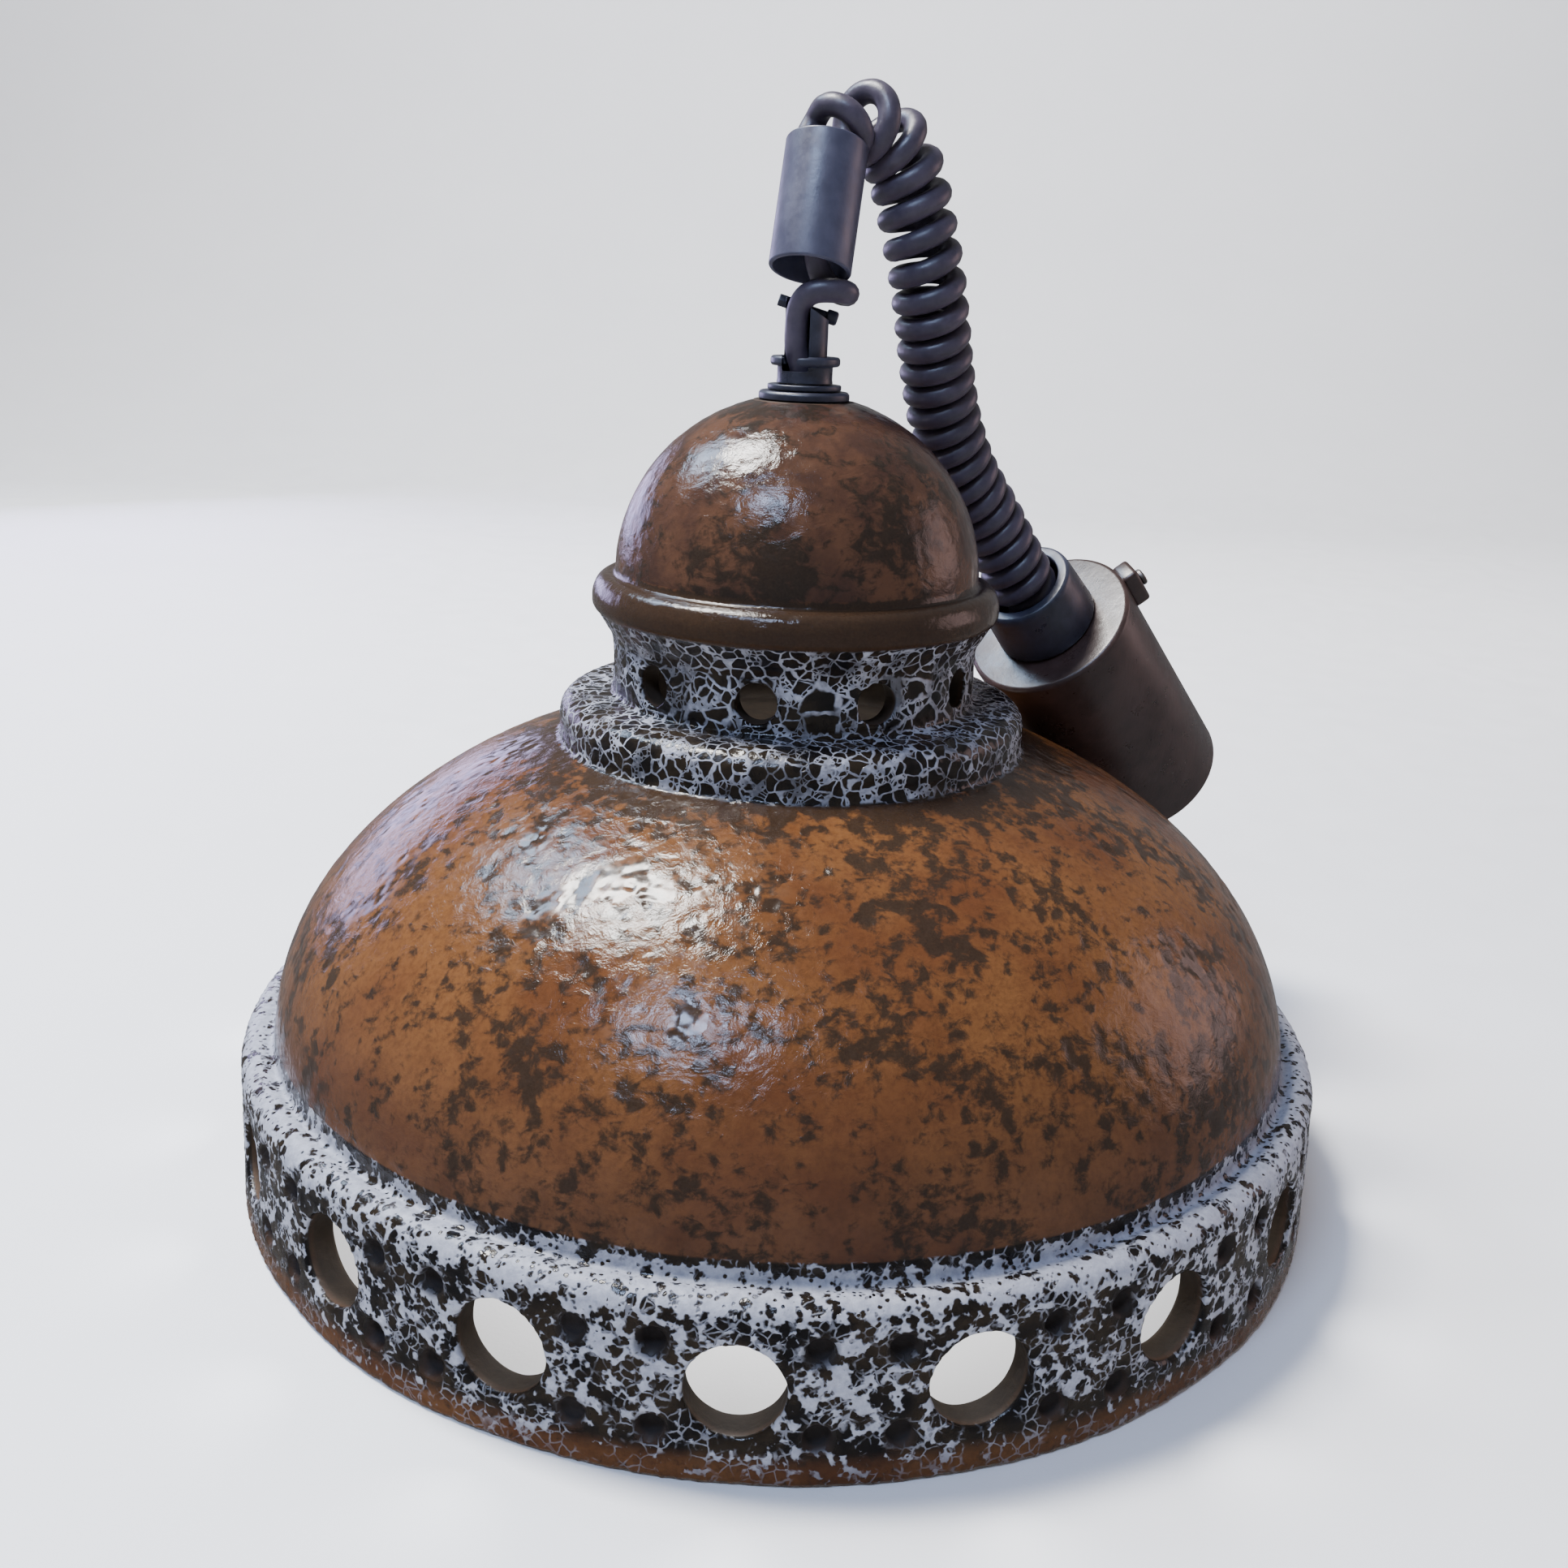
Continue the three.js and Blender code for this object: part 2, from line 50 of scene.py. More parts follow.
# ---------------------------------------------------------------- camera, floor and light
def look_matrix(forward, up_hint, roll=0.0):
    """Rotation of a camera or lamp that looks along forward, turned anticlockwise by roll."""
    forward = Vector(forward).normalized()
    right = forward.cross(Vector(up_hint)).normalized()
    up = right.cross(forward)
    x = right * math.cos(roll) + up * math.sin(roll)
    y = up * math.cos(roll) - right * math.sin(roll)
    return Matrix((x, y, -forward)).transposed()


def make_camera():
    pitch, roll, yaw = (math.radians(a) for a in (17.548, 2.259, -0.17))
    data = bpy.data.cameras.new("camera")
    data.sensor_width = 36
    data.lens = 35.4
    data.clip_start = 0.01
    camera = bpy.data.objects.new("camera", data)
    bpy.context.collection.objects.link(camera)
    forward = (math.sin(yaw) * math.cos(pitch), math.cos(yaw) * math.cos(pitch), -math.sin(pitch))
    place = look_matrix(forward, (0, 0, 1), roll).to_4x4()
    place.translation = (0, -0.44242, 0.25386)
    camera.matrix_world = place
    bpy.context.scene.camera = camera


def area_light(name, azimuth, elevation, distance, size, power, colour, turn=0.0, aim=(0, 0, 0.12)):
    """A soft rectangular lamp, placed by direction in degrees and distance from the shade's middle."""
    data = bpy.data.lights.new(name, "AREA")
    data.shape = "RECTANGLE"
    data.size, data.size_y = size
    data.energy = power
    data.color = colour
    lamp = bpy.data.objects.new(name, data)
    bpy.context.collection.objects.link(lamp)
    a, e = math.radians(azimuth), math.radians(elevation)
    direction = Vector((math.cos(e) * math.cos(a), math.cos(e) * math.sin(a), math.sin(e)))
    spot = direction * distance + Vector((0, 0, 0.12))
    beam = Vector(aim) - spot
    level = (0, 0, 1) if abs(beam.x) + abs(beam.y) > 1e-6 else (0, 1, 0)
    place = look_matrix(beam, level, math.radians(turn)).to_4x4()
    place.translation = spot
    lamp.matrix_world = place


def make_lights():
    area_light("window_left", 162, 66, 1.5, (0.34, 0.50), 56, (1, 0.98, 0.95))
    area_light("window_front", -118, 55, 1.6, (0.55, 0.24), 17, (0.50, 0.66, 1.0), 12)
    area_light("sky_left", 150, 47, 1.7, (0.55, 0.40), 15, (0.56, 0.74, 1.0))
    area_light("glow_left", 130, 8, 1.5, (0.9, 0.4), 6, (0.60, 0.54, 1.0))
    area_light("fill_right", 12, 14, 1.8, (0.9, 0.9), 5, (1.0, 0.66, 0.64))
    area_light("backdrop", 90, 60, 1.3, (3.0, 0.6), 44, (1, 1, 1), aim=(0, 2.4, 0.7))
    area_light("inside", 0, 90, 0.0, (0.1, 0.1), 0.8, (1, 1, 1), aim=(0, 0, 0))
    world = bpy.data.worlds.new("studio")
    world.use_nodes = True
    world.node_tree.nodes["Background"].inputs["Color"].default_value = (0.93, 0.93, 0.97, 1)
    world.node_tree.nodes["Background"].inputs["Strength"].default_value = 0.26
    bpy.context.scene.world = world


make_camera()
make_lights()


# ---------------------------------------------------------------- small maths
def unit(v):
    v = np.asarray(v, float)
    return v / np.linalg.norm(v)


def smoothstep(low, high, x):
    t = np.clip((x - low) / (high - low), 0, 1)
    return t * t * (3 - 2 * t)


def catmull(points, steps):
    """Points of a centripetal Catmull-Rom curve through the given ones, steps to each span."""
    p = np.asarray(points, float)
    p = np.vstack([2 * p[0] - p[1], p, 2 * p[-1] - p[-2]])
    out = []
    for i in range(1, len(p) - 2):
        p0, p1, p2, p3 = p[i - 1:i + 3]
        t0 = 0.0
        t1 = t0 + math.sqrt(np.linalg.norm(p1 - p0))
        t2 = t1 + math.sqrt(np.linalg.norm(p2 - p1))
        t3 = t2 + math.sqrt(np.linalg.norm(p3 - p2))
        for t in np.linspace(t1, t2, steps, endpoint=False):
            a1 = (t1 - t) / (t1 - t0) * p0 + (t - t0) / (t1 - t0) * p1
            a2 = (t2 - t) / (t2 - t1) * p1 + (t - t1) / (t2 - t1) * p2
            a3 = (t3 - t) / (t3 - t2) * p2 + (t - t2) / (t3 - t2) * p3
            b1 = (t2 - t) / (t2 - t0) * a1 + (t - t0) / (t2 - t0) * a2
            b2 = (t3 - t) / (t3 - t1) * a2 + (t - t1) / (t3 - t1) * a3
            out.append((t2 - t) / (t2 - t1) * b1 + (t - t1) / (t2 - t1) * b2)
    return np.array(out + [p[-2]])


def arc_lengths(path):
    return np.concatenate([[0], np.cumsum(np.linalg.norm(np.diff(path, axis=0), axis=1))])


def even(path, spacing=None, count=None):
    """The same line with evenly spaced points."""
    path = np.asarray(path, float)
    s = arc_lengths(path)
    count = count or max(2, round(s[-1] / spacing) + 1)
    at = np.linspace(0, s[-1], count)
    return np.stack([np.interp(at, s, path[:, k]) for k in range(path.shape[1])], axis=1)


# seeded lattice noise, for relief that the meshes carry
rng = np.random.default_rng(1967)
TABLE = rng.permutation(4096)
GRADIENTS = rng.normal(size=(4096, 3))
GRADIENTS /= np.linalg.norm(GRADIENTS, axis=1)[:, None]
RANDOMS = rng.random((4096, 4))


def lattice(cell):
    x, y, z = (cell & 4095).T
    return TABLE[(TABLE[(TABLE[x] + y) & 4095] + z) & 4095]


def noise(p):
    """Gradient noise from about -1 to 1 at each row of p."""
    base = np.floor(p).astype(np.int64)
    f = p - base
    w = f * f * f * (f * (f * 6 - 15) + 10)
    total = np.zeros(len(p))
    for corner in itertools.product((0, 1), repeat=3):
        c = np.array(corner)
        slope = ((f - c) * GRADIENTS[lattice(base + c)]).sum(1)
        total += np.prod(np.where(c, w, 1 - w), axis=1) * slope
    return 1.6 * total


def fractal(p, octaves, gain=0.5):
    total, size = np.zeros(len(p)), 1.0
    for k in range(octaves):
        total += size * noise(p * 2.03 ** k + 17.3 * k)
        size *= gain
    return total


def cells(p):
    """Distances to the nearest two cell centres, and a random value of the nearest cell."""
    base = np.floor(p).astype(np.int64)
    first = np.full(len(p), 9.0)
    second = np.full(len(p), 9.0)
    value = np.zeros(len(p))
    for corner in itertools.product((-1, 0, 1), repeat=3):
        cell = base + np.array(corner)
        chance = RANDOMS[lattice(cell)]
        d = np.linalg.norm(cell + chance[:, :3] - p, axis=1)
        nearer = d < first
        second = np.where(nearer, first, np.minimum(second, d))
        value = np.where(nearer, chance[:, 3], value)
        first = np.where(nearer, d, first)
    return first, second, value


# ---------------------------------------------------------------- material nodes
class Shader:
    """Builds one node material; each method adds a node and returns its output."""

    def __init__(self, name):
        self.material = bpy.data.materials.new(name)
        self.material.use_nodes = True
        self.tree = self.material.node_tree
        self.bsdf = self.tree.nodes["Principled BSDF"]
        coordinates = self.tree.nodes.new("ShaderNodeTexCoord")
        self.place = coordinates.outputs["Object"]

    def put(self, kind, inputs=None, **settings):
        node = self.tree.nodes.new(kind)
        for key, value in settings.items():
            setattr(node, key, value)
        for key, value in (inputs or {}).items():
            self.set(node.inputs[key], value)
        return node

    def set(self, socket, value):
        if isinstance(value, bpy.types.NodeSocket):
            self.tree.links.new(value, socket)
        elif value is not None:
            socket.default_value = value

    def noise(self, scale, detail=3, roughness=0.55, distortion=0.0, at=None):
        node = self.put("ShaderNodeTexNoise", {
            "Vector": at or self.place, "Scale": scale, "Detail": detail,
            "Roughness": roughness, "Distortion": distortion,
        })
        return node.outputs["Fac"]

    def voronoi(self, scale, at, feature="F1"):
        return self.put("ShaderNodeTexVoronoi", {"Vector": at, "Scale": scale}, feature=feature)

    def stretched(self, scale):
        return self.put("ShaderNodeMapping", {"Vector": self.place, "Scale": scale}).outputs[0]

    def vector(self, operation, inputs):
        return self.put("ShaderNodeVectorMath", inputs, operation=operation).outputs[0]

    def warped(self, scale, amount):
        """The coordinates moved about by noise, amount in metres."""
        noise = self.put("ShaderNodeTexNoise", {"Vector": self.place, "Scale": scale, "Detail": 2})
        centred = self.vector("SUBTRACT", {0: noise.outputs["Color"], 1: (0.5, 0.5, 0.5)})
        moved = self.vector("SCALE", {0: centred, "Scale": amount})
        return self.vector("ADD", {0: self.place, 1: moved})

    def math(self, operation, a, b=None, c=None):
        node = self.put("ShaderNodeMath", {0: a}, operation=operation)
        for index, value in ((1, b), (2, c)):
            self.set(node.inputs[index], value)
        return node.outputs[0]

    def step(self, value, low, high, out_low=0.0, out_high=1.0):
        """A smooth step of value from low to high."""
        node = self.put("ShaderNodeMapRange", {
            "Value": value, "From Min": low, "From Max": high, "To Min": out_low, "To Max": out_high,
        }, interpolation_type="SMOOTHSTEP")
        return node.outputs[0]

    def mix(self, factor, a, b):
        node = self.tree.nodes.new("ShaderNodeMix")
        node.data_type = "RGBA"
        colours = [s for s in node.inputs if s.type == "RGBA"]
        self.set(node.inputs["Factor"], factor)
        for socket, value in zip(colours, (a, b)):
            self.set(socket, value if isinstance(value, bpy.types.NodeSocket) else (*value, 1))
        return next(s for s in node.outputs if s.type == "RGBA")

    def blend(self, factor, a, b):
        """A number mixed from a to b by factor."""
        return self.put("ShaderNodeMix", {"Factor": factor, "A": a, "B": b}, data_type="FLOAT").outputs[0]

    def attribute(self, name):
        return self.put("ShaderNodeAttribute", attribute_name=name).outputs["Fac"]

    def bump(self, height, distance, normal=None, strength=1.0):
        node = self.put("ShaderNodeBump", {"Height": height, "Distance": distance, "Strength": strength})
        self.set(node.inputs["Normal"], normal)
        return node.outputs[0]

    def finish(self, colour, roughness, normal=None, **fixed):
        self.set(self.bsdf.inputs["Base Color"], colour)
        self.set(self.bsdf.inputs["Roughness"], roughness)
        self.set(self.bsdf.inputs["Normal"], normal)
        for key, value in fixed.items():
            self.bsdf.inputs[key.replace("_", " ")].default_value = value
        return self.material


def glaze_material():
    s = Shader("glaze")
    foam = s.attribute("foam")
    web = s.attribute("web")
    lacy = s.attribute("lacy")
    mottle = s.attribute("mottle")
    dark = s.attribute("dark")
    inside = s.attribute("inside")
    pit = s.attribute("pit")

    # caramel glaze, browner and redder in broad drifts, with branching olive-black mottles
    wide = s.noise(24, 3, 0.6)
    branch = s.noise(210, 5, 0.62, 0.5, s.stretched((1, 1, 1.35)))
    fine = s.noise(620, 4, 0.65)
    speck = s.noise(1600, 2, 0.6)
    caramel = s.mix(s.step(wide, 0.36, 0.66), (0.150, 0.062, 0.021), (0.098, 0.035, 0.013))
    caramel = s.mix(s.step(fine, 0.35, 0.75, 0.0, 0.5), caramel, (0.060, 0.022, 0.009))
    umber = s.mix(s.step(s.noise(60, 4, 0.6), 0.38, 0.62), (0.032, 0.018, 0.015), (0.074, 0.036, 0.022))
    ground = s.mix(dark, caramel, umber)
    vein = s.math("MULTIPLY", s.math("SUBTRACT", branch, 0.5), 2.5)
    grain = s.math("MULTIPLY", s.math("SUBTRACT", fine, 0.5), 0.7)
    edge = s.math("ADD", s.math("ADD", mottle, vein), grain)
    blot = s.step(edge, 0.10, 0.66)
    black = s.mix(speck, (0.008, 0.006, 0.0055), (0.028, 0.021, 0.014))
    ground = s.mix(s.math("MULTIPLY", blot, 0.86), ground, black)

    # foam glaze: a pale crust whose edges and holes are round cells of several sizes
    moved = s.warped(260, 0.0018)
    drift = s.noise(95, 4, 0.7, 0.5)
    middle = s.voronoi(270, moved).outputs["Distance"]
    small = s.voronoi(640, moved).outputs["Distance"]
    crust = s.math("ADD", s.math("MULTIPLY", s.math("SUBTRACT", drift, 0.5), 1.5), -0.40)
    crust = s.math("MULTIPLY_ADD", s.math("SUBTRACT", middle, 0.5), 0.85, crust)
    crust = s.math("MULTIPLY_ADD", s.math("SUBTRACT", small, 0.5), 0.55, crust)
    crust = s.step(s.math("MULTIPLY_ADD", foam, 0.62, crust), -0.07, 0.10)
    spot = s.voronoi(520, moved)
    round_spot = s.step(spot.outputs["Distance"], 0.20, 0.30, 1.0, 0.0)
    spots = s.math("MULTIPLY", round_spot, s.step(spot.outputs["Color"], 0.42, 0.5))
    border = s.voronoi(330, moved, "DISTANCE_TO_EDGE").outputs["Distance"]
    rings = s.step(border, 0.03, 0.09, 1.0, 0.0)
    rings = s.math("MULTIPLY", rings, s.step(s.noise(120, 3, 0.6), 0.46, 0.6, 0.0, 0.55))
    crust = s.math("MAXIMUM", s.math("MULTIPLY", crust, s.math("SUBTRACT", 1.0, spots)), rings)
    crust = s.math("MULTIPLY", crust, s.step(foam, 0.04, 0.16))

    # the neck's web: dark round cells of three sizes in thin pale lines, the large ones on the drum only
    bent = s.warped(170, 0.0035)

    def cells_of(scale, radius, thin, at, keep):
        """Dark cells (1) and the thin borders between them (1), for one size of cell."""
        cell = s.voronoi(scale, at)
        gap = s.voronoi(scale, at, "DISTANCE_TO_EDGE").outputs["Distance"]
        size = s.step(cell.outputs["Color"], keep, keep + 0.5, 0.0, radius)
        body = s.step(s.math("SUBTRACT", size, cell.outputs["Distance"]), 0.0, 0.06)
        open_part = s.step(gap, thin, thin + 0.05)
        line = s.step(gap, thin, thin + 0.05, 1.0, 0.0)
        return s.math("MULTIPLY", body, open_part), s.math("MULTIPLY", s.step(size, 0.2, 0.3), line)

    # a size of cell: how many per metre, their radius and border as parts of one cell, the share left out
    large, large_edge = cells_of(115, 0.96, 0.034, bent, 0.22)
    medium, medium_edge = cells_of(270, 1.0, 0.035, bent, 0.10)
    minute, _ = cells_of(640, 0.95, 0.06, moved, 0.1)
    coarse = s.math("SUBTRACT", 1.0, lacy)
    large = s.math("MULTIPLY", large, coarse)
    large_edge = s.math("MULTIPLY", large_edge, coarse)
    medium = s.math("MULTIPLY", medium, s.math("SUBTRACT", 1.0, large_edge))
    lines = s.math("MAXIMUM", large_edge, medium_edge)
    minute = s.math("MULTIPLY", minute, s.math("SUBTRACT", 1.0, lines))
    holes = s.math("MAXIMUM", large, s.math("MAXIMUM", medium, minute))
    fade = s.step(s.noise(85, 4, 0.65), 0.38, 0.60, 0.25, 1.0)
    net = s.math("MULTIPLY", s.math("SUBTRACT", 1.0, holes), fade)
    pale = s.math("MAXIMUM", crust, s.math("MULTIPLY", net, web))

    drifts = s.step(s.noise(90, 4, 0.6), 0.35, 0.68)
    flat_dark = s.mix(drifts, (0.004, 0.0035, 0.004), (0.022, 0.015, 0.009))
    zone = s.math("MINIMUM", s.math("ADD", s.step(foam, 0.04, 0.2), s.step(web, 0.1, 0.5)), 1.0)
    ground = s.mix(zone, ground, flat_dark)
    white = s.mix(s.noise(500, 4, 0.7), (0.12, 0.13, 0.17), (0.50, 0.51, 0.58))
    ground = s.mix(pale, ground, white)

    bare = s.mix(s.noise(140, 4, 0.6), (0.010, 0.007, 0.005), (0.046, 0.029, 0.016))
    ground = s.mix(inside, ground, bare)
    # the pits mixed toward near-black: painted shade in the recesses of the band
    ground = s.mix(s.math("MULTIPLY", pit, 0.75), ground, (0.014, 0.012, 0.014))

    rough = s.blend(pale, s.step(s.noise(260, 3, 0.6), 0.3, 0.7, 0.09, 0.2), 0.5)
    rough = s.blend(inside, rough, 0.85)
    live = s.attribute("lively")
    relief = s.bump(branch, 0.0004, strength=0.8)
    relief = s.bump(s.math("MULTIPLY", fine, live), 0.00012, relief, 0.7)
    relief = s.bump(pale, 0.0004, relief, 0.8)
    smooth = s.bump(s.noise(180, 2, 0.5), 0.0003)
    normal = s.put("ShaderNodeMix", data_type="VECTOR")
    vectors = [x for x in normal.inputs if x.type == "VECTOR"]
    s.set(normal.inputs["Factor"], s.math("ADD", s.math("MULTIPLY", live, 0.8), 0.2))
    s.set(vectors[0], smooth)
    s.set(vectors[1], relief)
    return s.finish(ground, rough, next(x for x in normal.outputs if x.type == "VECTOR"), IOR=1.38)


def plain_material(name, low, high, rough, scale=260, bump=0.00008, metallic=0.0, **fixed):
    """A moulded or turned finish: two near colours drifting into each other, uneven gloss, fine relief."""
    s = Shader(name)
    drift = s.noise(scale * 0.15, 4, 0.6)
    grain = s.noise(scale, 5, 0.65)
    both = s.math("ADD", s.math("MULTIPLY", drift, 0.7), s.math("MULTIPLY", grain, 0.3))
    colour = s.mix(s.step(both, 0.35, 0.65), low, high)
    gloss = s.step(s.noise(scale * 0.5, 5, 0.7), 0.3, 0.7, rough[0], rough[1])
    scratches = s.noise(scale * 1.6, 3, 0.6, 0.4, s.stretched((1, 1, 0.12)))
    relief = s.bump(grain, bump, s.bump(scratches, bump * 0.6))
    return s.finish(colour, gloss, relief, Metallic=metallic, **fixed)


GLAZE = glaze_material()
BLACK = plain_material("black_plastic", (0.016, 0.017, 0.027), (0.036, 0.038, 0.060), (0.26, 0.46))
BROWN = plain_material("brown_plastic", (0.027, 0.015, 0.013), (0.052, 0.029, 0.025), (0.26, 0.40))
SLEEVE = plain_material("sleeve_plastic", (0.038, 0.038, 0.062), (0.066, 0.066, 0.102), (0.30, 0.46))
CORD = plain_material("cord_sheath", (0.036, 0.030, 0.046), (0.060, 0.048, 0.070), (0.30, 0.46), 500)
PHENOLIC = plain_material("phenolic", (0.008, 0.006, 0.005), (0.022, 0.014, 0.010), (0.16, 0.32))
CERAMIC = plain_material("porcelain", (0.70, 0.67, 0.60), (0.83, 0.81, 0.76), (0.25, 0.45))
BRASS = plain_material("brass", (0.45, 0.30, 0.11), (0.66, 0.49, 0.21), (0.25, 0.45), 400, metallic=1.0)
STEEL = plain_material("zinc_steel", (0.36, 0.36, 0.36), (0.56, 0.56, 0.57), (0.28, 0.46), 400, metallic=1.0)
DARK_STEEL = plain_material(
    "dark_steel", (0.10, 0.09, 0.085), (0.19, 0.17, 0.16), (0.3, 0.5), 400, metallic=1.0)
FIBRE = plain_material("fibre", (0.23, 0.10, 0.05), (0.36, 0.18, 0.09), (0.6, 0.85), 700, 0.00015)
NYLON = plain_material("nylon", (0.66, 0.62, 0.50), (0.80, 0.77, 0.67), (0.35, 0.5))
WIRE_BROWN = plain_material("wire_brown", (0.11, 0.040, 0.015), (0.17, 0.065, 0.025), (0.3, 0.45), 500)
WIRE_BLUE = plain_material("wire_blue", (0.02, 0.06, 0.28), (0.035, 0.10, 0.40), (0.3, 0.45), 500)


def floor_material():
    s = Shader("floor")
    colour = s.mix(s.noise(6, 4, 0.6), (0.86, 0.86, 0.88), (0.93, 0.93, 0.94))
    return s.finish(colour, s.step(s.noise(40, 3), 0.3, 0.7, 0.55, 0.7), s.bump(s.noise(900, 2), 0.00005))


# ---------------------------------------------------------------- mesh helpers
def new_object(name, vertices, faces, material, matrix=None, sharp=35, scale=MM):
    """An object from points in millimetres, turned and placed by a local frame."""
    mesh = bpy.data.meshes.new(name)
    points = np.asarray(vertices, float)
    if matrix is not None:
        points = points @ matrix[:3, :3].T + matrix[:3, 3]
    mesh.from_pydata((points * scale).tolist(), [], [list(map(int, f)) for f in faces])
    mesh.validate()
    mesh.update()
    mesh.shade_smooth()
    if sharp:
        mesh.set_sharp_from_angle(angle=math.radians(sharp))
    mesh.materials.append(material)
    made = bpy.data.objects.new(name, mesh)
    bpy.context.collection.objects.link(made)
    return made


def make_floor():
    """A pale floor that curves up into a backdrop behind the lamp."""
    turn = [(math.sin(a), 1 - math.cos(a)) for a in np.linspace(0, math.pi / 2, 17)]
    front, bend_start, bend_r, top, half_width = -3000, 1500, 900, 3600, 4000
    profile = [(front, 0)] + [(bend_start + bend_r * y, bend_r * z) for y, z in turn]
    profile += [(bend_start + bend_r, top)]
    points = [(x, y, z) for y, z in profile for x in (-half_width, half_width)]
    faces = [(2 * i, 2 * i + 1, 2 * i + 3, 2 * i + 2) for i in range(len(profile) - 1)]
    floor = new_object("floor", points, faces, floor_material(), sharp=None)
    floor.visible_glossy = False  # the photo's room was dim, so the glaze doesn't mirror a white floor


make_floor()


# ---------------------------------------------------------------- cord
CORD_R = 3.25
# from the nipple through the grip's groove, round the loop and up the sleeve
CORD_ROUTE = [
    (0, 0, 226), (0, 0, 231), (-1.2, -0.6, 235.6), (-2.8, -1.4, 240), (-2.8, -1.4, 246),
    (-2.4, -2, 251.6), (0.6, -3.6, 255.2), (5.4, -4, 255.8), (9.8, -2.6, 255.6), (11.4, 1.1, 255),
    (9, 4.4, 255), (4.8, 4.4, 257.6), (2.2, 3.9, 262.2), (1.4, 4.2, 268.6), (0.6, 7.4, 279),
    (-1.4, 11, 289), (-2.3, 13.7, 295.5),
]
# the middle line of the curly part, over the top and down towards the canopy's collar
COIL_AXIS = [
    (5.2, 11.5, 297.2), (9.6, 14.5, 300), (15, 17.8, 300.2), (20.4, 20.8, 296.6), (24.7, 22.8, 291),
    (28.2, 24.4, 282.5), (31.2, 25.8, 271.8), (34.1, 28, 261), (36.9, 32, 247.5), (39.7, 37, 233.5),
    (43.6, 42.6, 218.9), (50.2, 48.6, 203.7), (60, 55.4, 189),
]
COLLAR_END = 10
COIL_RADIUS = 8.2
POINTS_A_TURN = 24
CUP_END = np.array([85.4, 73.6, 151.8])
CUP_AXIS = unit((-0.526, -0.474, 0.706))
CUP_SIDE = np.array([0.765, 0.039, 0.642])
COLLAR_L = 21


def frame_at(origin, axis, side):
    """A 4x4 local frame: +Z along axis, +X leaning to side."""
    z = unit(axis)
    y = unit(np.cross(z, side))
    x = np.cross(y, z)
    m = np.eye(4)
    m[:3, 0], m[:3, 1], m[:3, 2], m[:3, 3] = x, y, z, origin
    return m


CANOPY = frame_at(CUP_END, CUP_AXIS, CUP_SIDE)
SLEEVE_FRAME = frame_at((0.4, 1, 263.2), (0.1, 0.33, 0.94), (1, 0, 0))


def coil_points():
    """The curly part: a helix about a bent axis, loose at the top and closed up lower down."""
    into = [tuple(CUP_END + CUP_AXIS * z) for z in (COLLAR_L, COLLAR_L - 6, COLLAR_END)]
    axis = even(catmull(COIL_AXIS + into, 12), spacing=0.2)
    length = arc_lengths(axis)
    tangent = np.gradient(axis, axis=0)
    tangent /= np.linalg.norm(tangent, axis=1)[:, None]
    side = np.array([-1.0, 0.0, 0.0])
    next_angle, angle, out = 0.0, 0.0, []
    for i in range(len(axis)):
        side = side - tangent[i] * side.dot(tangent[i])
        side /= np.linalg.norm(side)
        other = np.cross(tangent[i], side)
        pitch = 9.8 - 1.7 * smoothstep(8, 30, length[i]) - 1.3 * smoothstep(52, 84, length[i])
        if i:
            angle += (length[i] - length[i - 1]) / pitch * 2 * math.pi
        radius = COIL_RADIUS * (0.82 + 0.18 * smoothstep(0, 14, length[i]))
        radius *= smoothstep(-2, 10, length[-1] - length[i])
        if angle >= next_angle:
            out.append(axis[i] + radius * (side * math.cos(angle) + other * math.sin(angle)))
            next_angle = angle + 2 * math.pi / POINTS_A_TURN
    return out


def make_cord():
    lead = catmull(CORD_ROUTE, 6)
    coil = np.array(coil_points())
    tail = [CANOPY[:3, :3] @ (0, 0, z) + CANOPY[:3, 3] for z in (8, 4, 0, -6, -12, -18, -26)]
    path = even(catmull(np.vstack([even(lead, spacing=4), coil, tail]), 4), spacing=1)
    for _ in range(6):
        path[1:-1] = (path[:-2] + 2 * path[1:-1] + path[2:]) / 4
    curve = bpy.data.curves.new("cord", "CURVE")
    curve.dimensions = "3D"
    curve.bevel_depth = CORD_R * MM
    curve.bevel_resolution = 5
    curve.use_fill_caps = True
    spline = curve.splines.new("POLY")
    spline.points.add(len(path) - 1)
    for point, p in zip(spline.points, path):
        point.co = (*(p * MM), 1)
    spline.use_smooth = True
    curve.materials.append(CORD)
    cord = bpy.data.objects.new("cord", curve)
    bpy.context.collection.objects.link(cord)
    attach(cord, "lamp")
    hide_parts("cord_start", "cord_arch", "cord_coil", "cord_tail")
    return cord, arc_lengths(path)[-1] * MM


# ---------------------------------------------------------------- shade
BAND_IN = 152
BIG_DOME = dict(r=150.7, h=96, z=44.4)
BIG_INSIDE = dict(r=144.2, h=89.5, z=44.4)
DRUM_R = 52.5
DRUM_IN = 46
SMALL_DOME = dict(r=52.2, h=50.7, z=177.5)
SMALL_INSIDE = dict(r=45.7, h=44.2, z=177.5)
SEAT_R = 14
SEAT_TOP = 226.34
INNER_SEAT = 219.34
NIPPLE_BORE = 5.3
BAND_COLUMNS = 1080
NECK_COLUMNS = 540
BAND_STEP = 11 / 12
NECK_STEP = 2 * math.pi * DRUM_R / NECK_COLUMNS
HOLES = dict(count=18, r=12.0, z=24, phase=-92.3, ring=12, block=16, lip=1.5, columns=BAND_COLUMNS)
VENTS = dict(count=10, r=5.75, z=151.8, phase=-100.5, ring=8, block=11, lip=0.9, columns=NECK_COLUMNS)
HOLE_ROW = HOLES["z"]
PIT_R = 3.7
PIT_DEPTH = 3.0


